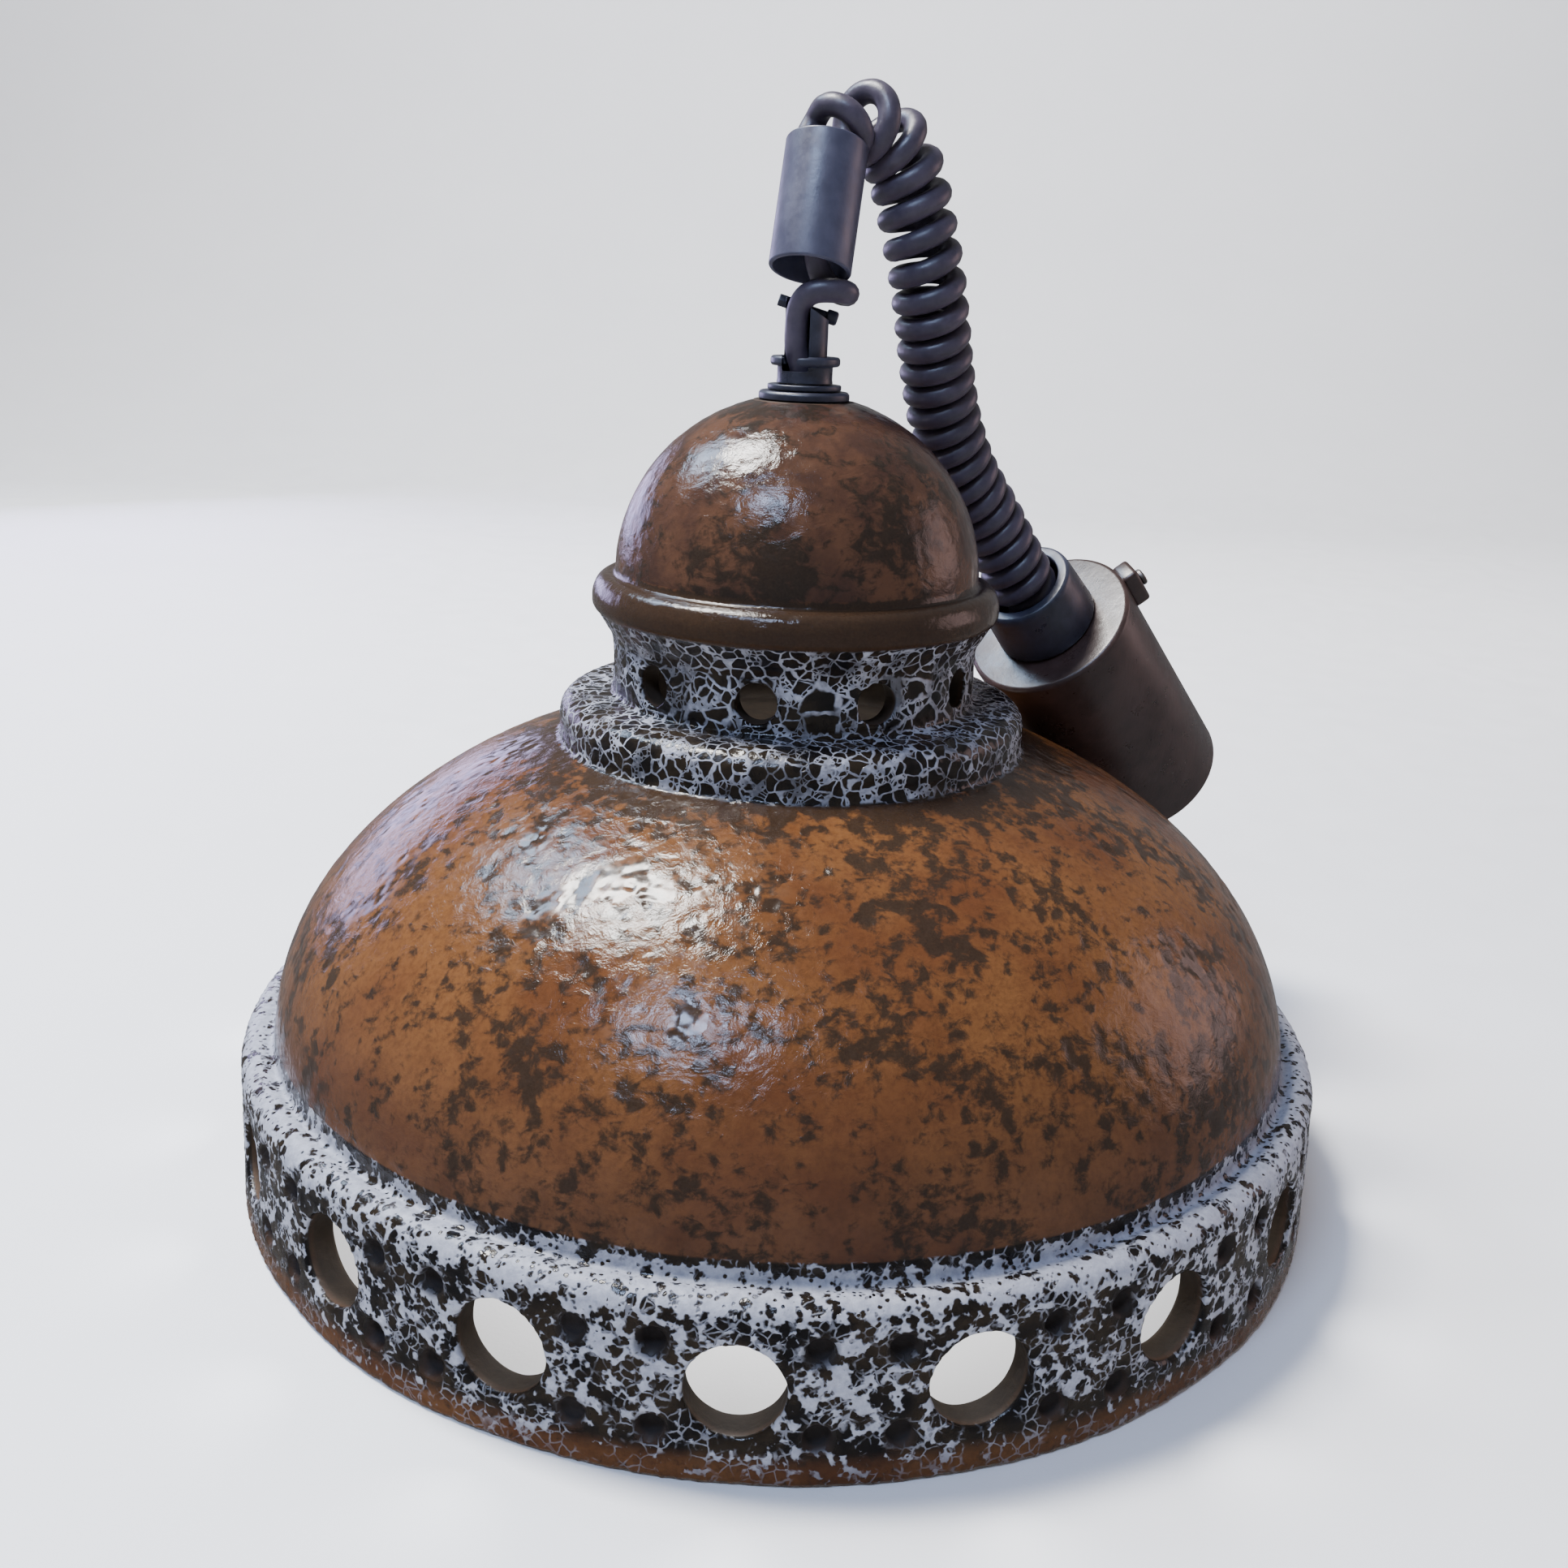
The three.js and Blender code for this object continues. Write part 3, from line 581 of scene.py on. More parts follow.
def ellipse(dome, r_from, r_to):
    """Points of a half ellipse [radius, height] between two radii."""
    a = np.linspace(math.acos(r_from / dome["r"]), math.acos(r_to / dome["r"]), 400)
    return np.stack([dome["r"] * np.cos(a), dome["z"] + dome["h"] * np.sin(a)], axis=1)


def smooth_line(points):
    return catmull([(r, z, 0) for r, z in points], 12)[:, :2]


def levels(radius, middle, step, low, high):
    return np.array([(radius(middle + step * k), middle + step * k) for k in range(low, high + 1)])


def shade_rows():
    """Rows round the closed section of the shell, from the foot up the outside and back down inside:
    (points [radius, height], columns, name of the zone) for each run of rows."""
    def band(z):
        return 161.5 - 1.5 * (z - 1.5) / 39.5

    def band_inside(z):
        return BAND_IN - 0.9 * smoothstep(37, 40, z)

    foot = [(152, 1.2), (152.4, 0.3), (153.2, 0), (159.6, 0), (161, 0.5), (161.5, 1.4)]
    bore = [(NIPPLE_BORE, SEAT_TOP - 0.8), (NIPPLE_BORE, INNER_SEAT + 0.6)]
    neck_foot = [(46, 144), (46, 134), (46.3, 130.6), (48, 128.6)]
    dome_foot = [(146.2, 47.6), (148.6, 44.6), (150.2, 41.6), (150.9, 40)]
    return [
        ("foot", even(smooth_line(foot), count=14), BAND_COLUMNS),
        ("band", levels(band, HOLE_ROW, BAND_STEP, -24, 18), BAND_COLUMNS),
        ("ledge", even(smooth_line([
            (160, 41.3), (159.7, 42.8), (158.8, 44.3), (157.3, 45.5), (155.5, 46), (153.6, 45.7),
            (152.1, 45.2), (151.2, 45.7), (150.75, 46.6),
        ]), count=15), BAND_COLUMNS),
        ("dome", even(ellipse(BIG_DOME, 150.6, 68.4), spacing=0.88), BAND_COLUMNS),
        ("disc", even(smooth_line([
            (68.0, 130.4), (67.7, 131.3), (67.7, 134), (67.7, 137.4), (67.2, 139.4), (66.1, 140.9),
            (64.6, 141.9), (62.7, 142.5), (60, 142.8), (56, 143), (53.8, 143.2), (52.8, 143.6), (52.5, 144.4),
        ]), spacing=0.62), NECK_COLUMNS),
        ("drum", levels(lambda z: DRUM_R, VENTS["z"], NECK_STEP, -11, 11), NECK_COLUMNS),
        ("cavetto", even(smooth_line([
            (52.6, 159.0), (53.1, 160.8), (54.1, 162.5), (55.6, 165), (57.0, 167.2),
        ]), spacing=0.6), NECK_COLUMNS),
        ("ring", even(smooth_line([
            (57.9, 167.9), (58.5, 169), (58.6, 170.5), (58.5, 172.4), (58, 174), (57.1, 175.7),
            (55.8, 176.7), (54.2, 177.3), (52.9, 177.3), (52.3, 178.0),
        ]), spacing=0.55), NECK_COLUMNS),
        ("small", even(ellipse(SMALL_DOME, 52.15, SEAT_R + 0.3), spacing=0.64), NECK_COLUMNS),
        ("seat", even([(SEAT_R, SEAT_TOP), (NIPPLE_BORE, SEAT_TOP)], count=8), NECK_COLUMNS),
        ("bore", even(bore, count=4), NECK_COLUMNS),
        ("inside", even([(NIPPLE_BORE, INNER_SEAT), (15, INNER_SEAT)], count=4), NECK_COLUMNS),
        ("inside", even(ellipse(SMALL_INSIDE, 20, 45.3), spacing=2.2), NECK_COLUMNS),
        ("inside", even([(46, 173), (46, 161)], count=6), NECK_COLUMNS),
        ("inside", levels(lambda z: DRUM_IN, VENTS["z"], -NECK_STEP, -11, 11), NECK_COLUMNS),
        ("inside", even(smooth_line(neck_foot), count=9), NECK_COLUMNS),
        ("inside", even(ellipse(BIG_INSIDE, 50, 144.0), spacing=2.2), NECK_COLUMNS),
        ("inside", even(smooth_line(dome_foot), count=6), BAND_COLUMNS),
        ("inside", levels(band_inside, HOLE_ROW, -BAND_STEP, -16, 24), BAND_COLUMNS),
    ]


def square_ring(k):
    """Cell offsets (column, row) of a square ring round a centre, anticlockwise from the right."""
    side = list(range(-k, k))
    ring = [(k, j) for j in side] + [(-j, k) for j in side]
    ring += [(-k, -j) for j in side] + [(j, -k) for j in side]
    start = ring.index((k, 0))
    return ring[start:] + ring[:start]


def round_off(dj, di, size_j, size_i, ring, block, radius):
    """Moves grid offsets round a hole so that the square ring of that index becomes a circle."""
    k = np.maximum(np.abs(dj), np.abs(di))
    wide = np.abs(dj) >= np.abs(di)
    ratio = np.where(wide, di, dj) / np.maximum(k, 1)
    angle = ratio * math.pi / 4
    cosine = np.where(wide, np.sign(dj) * np.cos(angle), np.sin(angle))
    sine = np.where(wide, np.sin(angle), np.sign(di) * np.cos(angle))
    reach = np.where(k <= ring, radius * k / ring, radius + (k - ring) * (size_j + size_i) / 2)
    t = smoothstep(ring, block, k)
    x = (1 - t) * reach * cosine + t * dj * size_j
    z = (1 - t) * reach * sine + t * di * size_i
    inside = (k <= block) & (k > 0)
    return np.where(inside, x, dj * size_j), np.where(inside, z, di * size_i)


class ShellGrid:
    """The shade as a grid of rows and columns, in polar coordinates until it is finished."""

    def __init__(self):
        rows = [(p, columns, zone) for zone, points, columns in shade_rows() for p in points]
        self.r = np.array([p[0] for p, _, _ in rows])
        self.z = np.array([p[1] for p, _, _ in rows])
        self.columns = np.array([c for _, c, _ in rows])
        self.zones = [zone for _, _, zone in rows]
        self.start = np.concatenate([[0], np.cumsum(self.columns)])
        self.row = np.repeat(np.arange(len(rows)), self.columns)
        self.column = np.concatenate([np.arange(c) for c in self.columns])
        phase = math.radians(HOLES["phase"])
        self.angle = phase + self.column * 2 * math.pi / self.columns[self.row]
        self.radius = self.r[self.row].copy()
        self.height = self.z[self.row].copy()
        self.depth = np.zeros(len(self.row))
        self.wall = np.zeros(len(self.row))

    def row_of(self, zone, z):
        return next(i for i, name in enumerate(self.zones) if name == zone and abs(self.z[i] - z) < 1e-6)

    def round_patch(self, middle_row, column, columns, ring, block, radius, up):
        """Rounds the grid off about one hole or pit; up is 1 outside and -1 inside, where rows run down."""
        dj, di = np.meshgrid(np.arange(-block, block + 1), np.arange(-block, block + 1))
        dj, di = dj.ravel(), di.ravel()
        base_r = self.r[middle_row]
        size_j = 2 * math.pi * base_r / columns
        size_i = abs(self.z[middle_row + 1] - self.z[middle_row])
        x, z = round_off(dj, di, size_j, size_i, ring, block, radius)
        ids = self.start[middle_row + up * di] + (column + dj) % columns
        self.angle[ids] += np.arcsin(x / base_r) - dj * size_j / base_r
        level = self.z[middle_row] + z
        self.height[ids] = level
        rows = np.arange(middle_row - block - 1, middle_row + block + 2)
        order = np.argsort(self.z[rows])
        self.radius[ids] = np.interp(level, self.z[rows][order], self.r[rows][order])
        return ids, dj, di


def make_shade_points():
    grid = ShellGrid()
    removed = set()
    bridges = []
    outer_band, inner_band = grid.row_of("band", HOLE_ROW), grid.row_of("inside", HOLE_ROW)
    outer_drum, inner_drum = grid.row_of("drum", VENTS["z"]), grid.row_of("inside", VENTS["z"])
    wobble = np.random.default_rng(18)
    for kind, outer, inner in ((HOLES, outer_band, inner_band), (VENTS, outer_drum, inner_drum)):
        count, columns, ring = kind["count"], kind["columns"], kind["ring"]
        offset = round((kind["phase"] - HOLES["phase"]) / 360 * columns)
        for n in range(count):
            column = (offset + n * columns // count) % columns
            radius = kind["r"] * (1 + 0.05 * wobble.uniform(-1, 0.4))
            grid.round_patch(outer, column, columns, ring, kind["block"], radius + kind["lip"], 1)
            grid.round_patch(inner, column, columns, ring, kind["block"], radius + 0.5 * kind["lip"], -1)
            for middle in (outer, inner):
                for dj in range(-ring, ring):
                    for di in range(-ring, ring):
                        removed.add((middle + di, (column + dj) % columns))
            bridges.append((kind, outer, inner, column, radius))
    for n in range(HOLES["count"]):
        for side in (20, 40):
            for rows_up in (-12, 12):
                column = BAND_COLUMNS // HOLES["count"] * n + side
                ids, dj, di = grid.round_patch(outer_band + rows_up, column, BAND_COLUMNS, 4, 6, PIT_R, 1)
                k = np.maximum(np.abs(dj), np.abs(di))
                depth = PIT_DEPTH * (1 + 0.25 * wobble.uniform(-1, 1))
                profile = [depth, 0.94 * depth, 0.72 * depth, 0.22, 0.0]
                grid.depth[ids] += np.interp(k, [0, 2, 3, 4, 5], profile)
                grid.wall[ids] = np.maximum(grid.wall[ids], np.interp(k, [0, 3, 4, 5], [1, 1, 0.4, 0]))
    return grid, removed, bridges


def shade_faces(grid, removed):
    faces = []
    total = len(grid.columns)
    for i in range(total):
        k = (i + 1) % total
        here, there = grid.columns[i], grid.columns[k]
        a0, b0 = grid.start[i], grid.start[k]
        if here == there:
            j = np.array([n for n in range(here) if (i, n) not in removed])
            j1 = (j + 1) % here
            faces.append(np.stack([a0 + j, a0 + j1, b0 + j1, b0 + j], axis=1))
        elif here > there:
            j = np.arange(there)
            j1 = (j + 1) % there
            fine = a0 + 2 * j
            last = a0 + (2 * j + 2) % here
            faces.append(np.stack([fine, fine + 1, b0 + j, b0 + j], axis=1))
            faces.append(np.stack([fine + 1, last, b0 + j1, b0 + j], axis=1))
        else:
            j = np.arange(here)
            j1 = (j + 1) % here
            fine = b0 + 2 * j
            last = b0 + (2 * j + 2) % there
            faces.append(np.stack([a0 + j, fine + 1, fine, fine], axis=1))
            faces.append(np.stack([a0 + j, a0 + j1, last, fine + 1], axis=1))
    return np.vstack(faces)


def bridge_holes(grid, bridges, next_id):
    """Walls of the holes and vents: rounded lips at both faces, and rings in between."""
    angles, radii, heights, depths, faces = [], [], [], [], []
    for kind, outer, inner, column, hole_r in bridges:
        columns, ring, lip = kind["columns"], kind["ring"], kind["lip"]
        offsets = square_ring(ring)
        first = [grid.start[outer + di] + (column + dj) % columns for dj, di in offsets]
        last = [grid.start[inner - di] + (column + dj) % columns for dj, di in offsets]
        cosine, sine = np.array([circle_place(dj, di, ring) for dj, di in offsets]).T
        turn = np.arctan2(sine, cosine)
        centre = math.radians(HOLES["phase"]) + column * 2 * math.pi / columns
        wall = grid.r[outer] - grid.r[inner]
        back = 0.5 * lip
        front = np.radians([25, 50, 75, 90])
        steps = [(hole_r + lip * (1 - math.sin(a)), lip * (1 - math.cos(a))) for a in front]
        steps += [(hole_r, d) for d in np.linspace(lip, wall - back, 5)[1:]]
        for a in np.radians([30, 60]):
            steps.append((hole_r + back * (1 - math.cos(a)), wall - back * (1 - math.sin(a))))
        previous = first
        for rho, depth in steps:
            across, up = rho * np.cos(turn), rho * np.sin(turn)
            surface = np.interp(grid.z[outer] + up, *band_radius(grid, outer))
            r = surface - depth
            angles.append(centre + np.arcsin(across / r))
            radii.append(r)
            heights.append(grid.z[outer] + up)
            depths.append(np.full(len(turn), smoothstep(0.4 * lip, 1.3 * lip, depth)))
            current = list(range(next_id, next_id + len(turn)))
            next_id += len(turn)
            faces.append(quad_strip(previous, current))
            previous = current
        faces.append(quad_strip(previous, last))
    return (*[np.concatenate(v) for v in (angles, radii, heights, depths)], np.vstack(faces))


def circle_place(dj, di, k):
    """Where a point of a square ring goes on the unit circle."""
    if abs(dj) >= abs(di):
        angle = di / k * math.pi / 4
        return (math.copysign(math.cos(angle), dj), math.sin(angle))
    angle = dj / k * math.pi / 4
    return (math.sin(angle), math.copysign(math.cos(angle), di))


def band_radius(grid, row):
    rows = np.arange(row - 18, row + 18)
    order = np.argsort(grid.z[rows])
    return grid.z[rows][order], grid.r[rows][order]


def quad_strip(a, b):
    """Quads between two rings of vertices that run the same way."""
    a, b = np.array(a), np.array(b)
    return np.stack([a, np.roll(a, -1), np.roll(b, -1), b], axis=1)


def zone_weight(grid, names, before=0, after=0):
    """1 on the rows of these zones, fading out over some rows before and after."""
    on = np.array([zone in names for zone in grid.zones], float)
    out = on.copy()
    for k in range(1, max(before, after) + 1):
        if k <= before:
            out = np.maximum(out, np.roll(on, -k) * (1 - k / (before + 1)))
        if k <= after:
            out = np.maximum(out, np.roll(on, k) * (1 - k / (after + 1)))
    return out


def make_shade():
    grid, removed, bridges = make_shade_points()
    faces = shade_faces(grid, removed)
    size = len(grid.angle)
    angle, radius, height, deep, walls = bridge_holes(grid, bridges, size)
    extra = len(angle)
    angle = np.concatenate([grid.angle, angle])
    radius = np.concatenate([grid.radius, radius])
    height = np.concatenate([grid.height, height])
    faces = np.vstack([faces, walls])
    points = np.stack([radius * np.cos(angle), radius * np.sin(angle), height], axis=1)
    at_row = lambda weights: np.concatenate([weights[grid.row], np.zeros(extra)])

    # how far along the section each row is, so that relief can be stretched round the shade
    travel = np.concatenate([[0], np.cumsum(np.hypot(np.diff(grid.r), np.diff(grid.z)))])
    along = np.concatenate([travel[grid.row], np.full(extra, 0.0)]) * 0.55
    level = np.stack([points[:, 0], points[:, 1], along], axis=1)

    # points, normals
    mesh = bpy.data.meshes.new("shade")
    keep, faces = np.unique(faces, return_inverse=True)
    faces = faces.reshape(-1, 4)
    loops = [f[:3] if f[2] == f[3] else f for f in faces]
    mesh.from_pydata((points[keep] * MM).tolist(), [], [f.tolist() for f in loops])
    mesh.update()
    normals = np.zeros(len(keep) * 3)
    mesh.vertex_normals.foreach_get("vector", normals)
    normals = normals.reshape(-1, 3)
    points, level = points[keep], level[keep]
    pick = lambda values: values[keep]

    on_neck = np.where(points[:, 2] > 100, 1.0, 0.0)
    edges = lambda weights, rest: pick(np.concatenate([weights[grid.row], rest]))
    blank = np.zeros(extra)
    dome = pick(at_row(zone_weight(grid, ["dome"])))
    foam = edges(zone_weight(grid, ["foot", "band", "ledge"], 0, 4), 1 - deep) * (1 - on_neck)
    foam = np.maximum(foam, edges(zone_weight(grid, ["foot", "band", "ledge"], 0, 4), blank))
    web = edges(zone_weight(grid, ["disc", "drum", "cavetto"], 1, 0), 1 - deep)
    web = np.where(points[:, 2] > 100, web, 0)
    lacy = edges(zone_weight(grid, ["cavetto", "disc"], 0, 0), blank)
    small = pick(at_row(zone_weight(grid, ["small"])))
    ring = pick(at_row(zone_weight(grid, ["ring"])))
    inner = edges(zone_weight(grid, ["inside", "bore", "seat"]), deep)
    pit = pick(np.concatenate([grid.wall, blank]))
    wall = np.maximum(pit, edges(np.zeros(len(grid.zones)), deep))
    depth = pick(np.concatenate([grid.depth, blank]))

    # relief in millimetres along the normals
    cluster = fractal(level / 24, 3)
    wrinkle = fractal(level / 6.0, 3, 0.5)
    fine = noise(level / 2.4)
    craters, _, chance = cells(points / 5.2)
    crater = smoothstep(0.36, 0.14, craters) * (chance > 0.45)
    blister, second, _ = cells(points / 4.2)
    edge = second - blister
    lively = smoothstep(-0.45, 0.35, cluster) * (0.35 + 0.65 * smoothstep(60, 90, points[:, 2]))
    ridge = 1 - 2 * np.abs(wrinkle)
    rough_part = 0.15 * wrinkle + 0.06 * ridge + 0.05 * fine - 0.20 * crater
    relief = dome * (0.045 * wrinkle + rough_part * lively)
    relief += small * (0.12 * wrinkle + 0.03 * fine)
    relief += foam * (1 - wall) * (0.22 * smoothstep(0.25, 0.0, edge) + 0.12 * fine + 0.25 * cluster)
    relief += web * (0.18 * smoothstep(0.22, 0.0, edge) + 0.06 * fine)
    relief += wall * 0.08 * noise(points / 4)
    relief += (1 - inner) * 0.3 * noise(points / 55) * (1 - wall)
    relief += inner * 0.12 * noise(points / 14)
    relief -= depth
    points = points + normals * relief[:, None]

    # what the glaze material reads
    mottle = 0.22 + 0.42 * cluster - 0.5 * wrinkle * dome - 0.25 * noise(points / 12) * small
    mottle += 0.30 * crater * dome - 0.12 * small
    mottle += 0.55 * dome * smoothstep(121, 129, points[:, 2])
    low = smoothstep(100, 52, points[:, 2]) * dome
    lobe = np.exp(-((points[:, 0] / 26) ** 2) - ((points[:, 2] - 188) / 11) ** 2) * (points[:, 1] < 0)
    mottle += 0.55 * small * lobe + 0.4 * small * smoothstep(219, 225, points[:, 2])
    on_ledge, at_foot = smoothstep(40.5, 45, points[:, 2]), smoothstep(24, 3, points[:, 2])
    crust = foam * (0.52 + 0.34 * on_ledge - 0.42 * at_foot)
    values = {
        "mottle": np.clip(mottle, -1, 1.2) * np.clip(dome + small, 0, 1) + ring * 1.25,
        "dark": np.clip(small * 0.85 + 0.55 * low, 0, 1),
        # no pale crust in the pits, which adds to the painted shade there
        "foam": crust * (1 - 0.9 * pit),
        "web": web * (1 - pit),
        "lacy": lacy,
        "lively": np.clip(dome * (0.25 + 0.75 * lively) + 0.3 * small + 0.5 * foam + 0.3 * web, 0, 1),
        # the walls of the holes and pits take the inside's dark brown, and the pit mask makes the glaze paint
        # the pits near-black: painted shade in the recesses
        "inside": np.clip(np.maximum(inner, wall), 0, 1),
        "pit": pit,
    }
    mesh.vertices.foreach_set("co", (points * MM).ravel())
    for name, value in values.items():
        attribute = mesh.attributes.new(name, "FLOAT", "POINT")
        attribute.data.foreach_set("value", value.astype(np.float32))
    mesh.shade_smooth()
    mesh.update()
    mesh.materials.append(GLAZE)
    shade = bpy.data.objects.new("shade", mesh)
    bpy.context.collection.objects.link(shade)
    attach(shade, "lamp")
    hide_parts("shade_body")
    return shade


# ---------------------------------------------------------------- turned and moulded pieces
def fillet(outline, radius, steps=3):
    """A closed [radius, height] outline with its corners rounded."""
    points = np.asarray(outline, float)
    out = []
    for before, here, after in zip(np.roll(points, 1, 0), points, np.roll(points, -1, 0)):
        a, b = before - here, after - here
        la, lb = np.linalg.norm(a), np.linalg.norm(b)
        cut = min(radius, 0.4 * la, 0.4 * lb)
        if here[0] < 0.01 or abs(np.cross(a, b)) < 0.05 * la * lb:
            out.append(here)
            continue
        p0, p1 = here + a / la * cut, here + b / lb * cut
        for t in np.linspace(0, 1, steps + 1):
            out.append((1 - t) ** 2 * p0 + 2 * t * (1 - t) * here + t ** 2 * p1)
    return np.array(out)


def revolve(outline, segments=64, sides=0, beyond=0.0, thread=None):
    """Vertices and faces of a closed outline turned about +Z. With sides, points beyond a radius follow a
    regular polygon; with thread = (low, high, least radius, depth, pitch), points get a helical wave."""
    outline = np.asarray(outline, float)
    area = np.sum(outline[:, 0] * np.roll(outline[:, 1], -1) - np.roll(outline[:, 0], -1) * outline[:, 1])
    if area < 0:
        outline = outline[::-1]
    angle = np.arange(segments) * 2 * math.pi / segments
    r = np.maximum(outline[:, 0], 0.002)[None, :] * np.ones((segments, 1))
    z = outline[:, 1][None, :] * np.ones((segments, 1))
    if sides:
        half = math.pi / sides
        factor = math.cos(half) / np.cos((angle % (2 * half)) - half)
        r = np.where(r > beyond, r * factor[:, None], r)
    if thread:
        low, high, least, depth, pitch = thread
        on = smoothstep(low, low + 0.6, z) * smoothstep(high, high - 0.6, z) * (r > least)
        wave = np.cos(2 * math.pi * z / pitch - angle[:, None])
        r = r + on * depth * np.clip(1.3 * wave, -1, 1) / 2
    points = np.stack([r * np.cos(angle)[:, None], r * np.sin(angle)[:, None], z], axis=2).reshape(-1, 3)
    n = len(outline)
    i, k = np.meshgrid(np.arange(segments), np.arange(n), indexing="ij")
    i1, k1 = (i + 1) % segments, (k + 1) % n
    faces = np.stack([i * n + k, i1 * n + k, i1 * n + k1, i * n + k1], axis=2).reshape(-1, 4)
    return points, faces


def settle(made, body, slot, *nodes):
    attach(made, body)
    if nodes:
        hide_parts(*nodes)
    return made


def turned(name, outline, material, frame_matrix=None, round_by=0.3, segments=64, **shape):
    """A turned piece from a closed outline; fine rings are added where it has a thread."""
    outline = fillet(outline, round_by)
    if shape.get("thread"):
        outline = even(np.vstack([outline, outline[:1]]), spacing=0.2)[:-1]
    return new_object(name, *revolve(outline, segments, **shape), material, frame_matrix)


def ring_outline(outer, inner, low, high):
    return [(inner, low), (outer, low), (outer, high), (inner, high)]


def block_object(name, size, centre, material, frame_matrix=None, bevel=0.4):
    """A box with rounded edges."""
    work = bmesh.new()
    bmesh.ops.create_cube(work, size=1)
    bmesh.ops.scale(work, vec=size, verts=work.verts)
    bmesh.ops.translate(work, vec=centre, verts=work.verts)
    bmesh.ops.bevel(work, geom=work.edges[:], offset=bevel, segments=3, profile=0.5, affect="EDGES")
    points = [v.co[:] for v in work.verts]
    faces = [[v.index for v in f.verts] for f in work.faces]
    work.free()
    return new_object(name, points, faces, material, frame_matrix)


def combine(base, tools, operation):
    """Cuts the tools out of base, or joins them to it, and removes them."""
    for tool in tools:
        change = base.modifiers.new("change", "BOOLEAN")
        change.operation = operation
        change.solver = "EXACT"
        change.object = tool
    bpy.context.view_layer.update()
    evaluated = base.evaluated_get(bpy.context.evaluated_depsgraph_get())
    mesh = bpy.data.meshes.new_from_object(evaluated)
    base.modifiers.clear()
    old, base.data = base.data, mesh
    bpy.data.meshes.remove(old)
    for tool in tools:
        bpy.data.objects.remove(tool)
    mesh.set_sharp_from_angle(angle=math.radians(35))
    return base


def sideways(frame_matrix, height, degrees=0):
    """A frame whose +Z points out sideways from another frame's axis, at a height and an angle on it."""
    a = math.radians(degrees)
    local = np.eye(4)
    local[:3, 2] = (math.cos(a), math.sin(a), 0)
    local[:3, 0] = (0, 0, -1)
    local[:3, 1] = np.cross(local[:3, 2], local[:3, 0])
    local[:3, 3] = (0, 0, height)
    return frame_matrix @ local


def shifted(frame_matrix, x, y, z):
    local = np.eye(4)
    local[:3, 3] = (x, y, z)
    return frame_matrix @ local


def rod(name, r, low, high, material, frame_matrix=None, bevel=0.2, **shape):
    return turned(name, [(0, low), (r, low), (r, high), (0, high)], material, frame_matrix, bevel, **shape)


def tube_mesh(name, route, r, material, frame_matrix=None, sides=16, steps=6):
    """A round rod along a smooth route."""
    path = catmull(route, steps)
    tangent = np.gradient(path, axis=0)
    side = np.array([0.31, 0.95, 0.05])
    angles = np.arange(sides) * 2 * math.pi / sides
    points = []
    for p, t in zip(path, tangent):
        t = unit(t)
        side = unit(side - t * side.dot(t))
        other = np.cross(t, side)
        points += [p + r * (side * math.cos(a) + other * math.sin(a)) for a in angles]
    n = len(path)
    faces = []
    for i, k in itertools.product(range(n - 1), range(sides)):
        here, there, following = i * sides, (i + 1) * sides, (k + 1) % sides
        faces.append([here + k, here + following, there + following, there + k])
    faces += [list(range(sides))[::-1], [(n - 1) * sides + k for k in range(sides)]]
    return new_object(name, points, faces, material, frame_matrix, sharp=50)


def slotted(screw, size, top, material, frame_matrix):
    """A screwdriver's slot across a screw's head, size = (width, length, depth)."""
    slot = block_object("slot", size, (0, 0, top), material, frame_matrix, bevel=0.05)
    return combine(screw, [slot], "DIFFERENCE")


# heights of the stack of fittings on the small dome, as in the CAD model
BASE_Z = (SEAT_TOP + GAP, SEAT_TOP + GAP + 2.3)
STEP_Z = (BASE_Z[1] + GAP, BASE_Z[1] + GAP + 1.5)
GRIP_Z = STEP_Z[1] + GAP
FLANGE_Z = (GRIP_Z + 4.6, GRIP_Z + 7.2)
POST_TOP = FLANGE_Z[1] + 15.5
SCREW_TILT = math.radians(16)
SCREW_FRAME = frame_at(
    (0, 4.1, FLANGE_Z[1] + 12.4), (math.cos(SCREW_TILT), 0, -math.sin(SCREW_TILT)), (0, 1, 0)
)
POST_SLOPE = 0.55


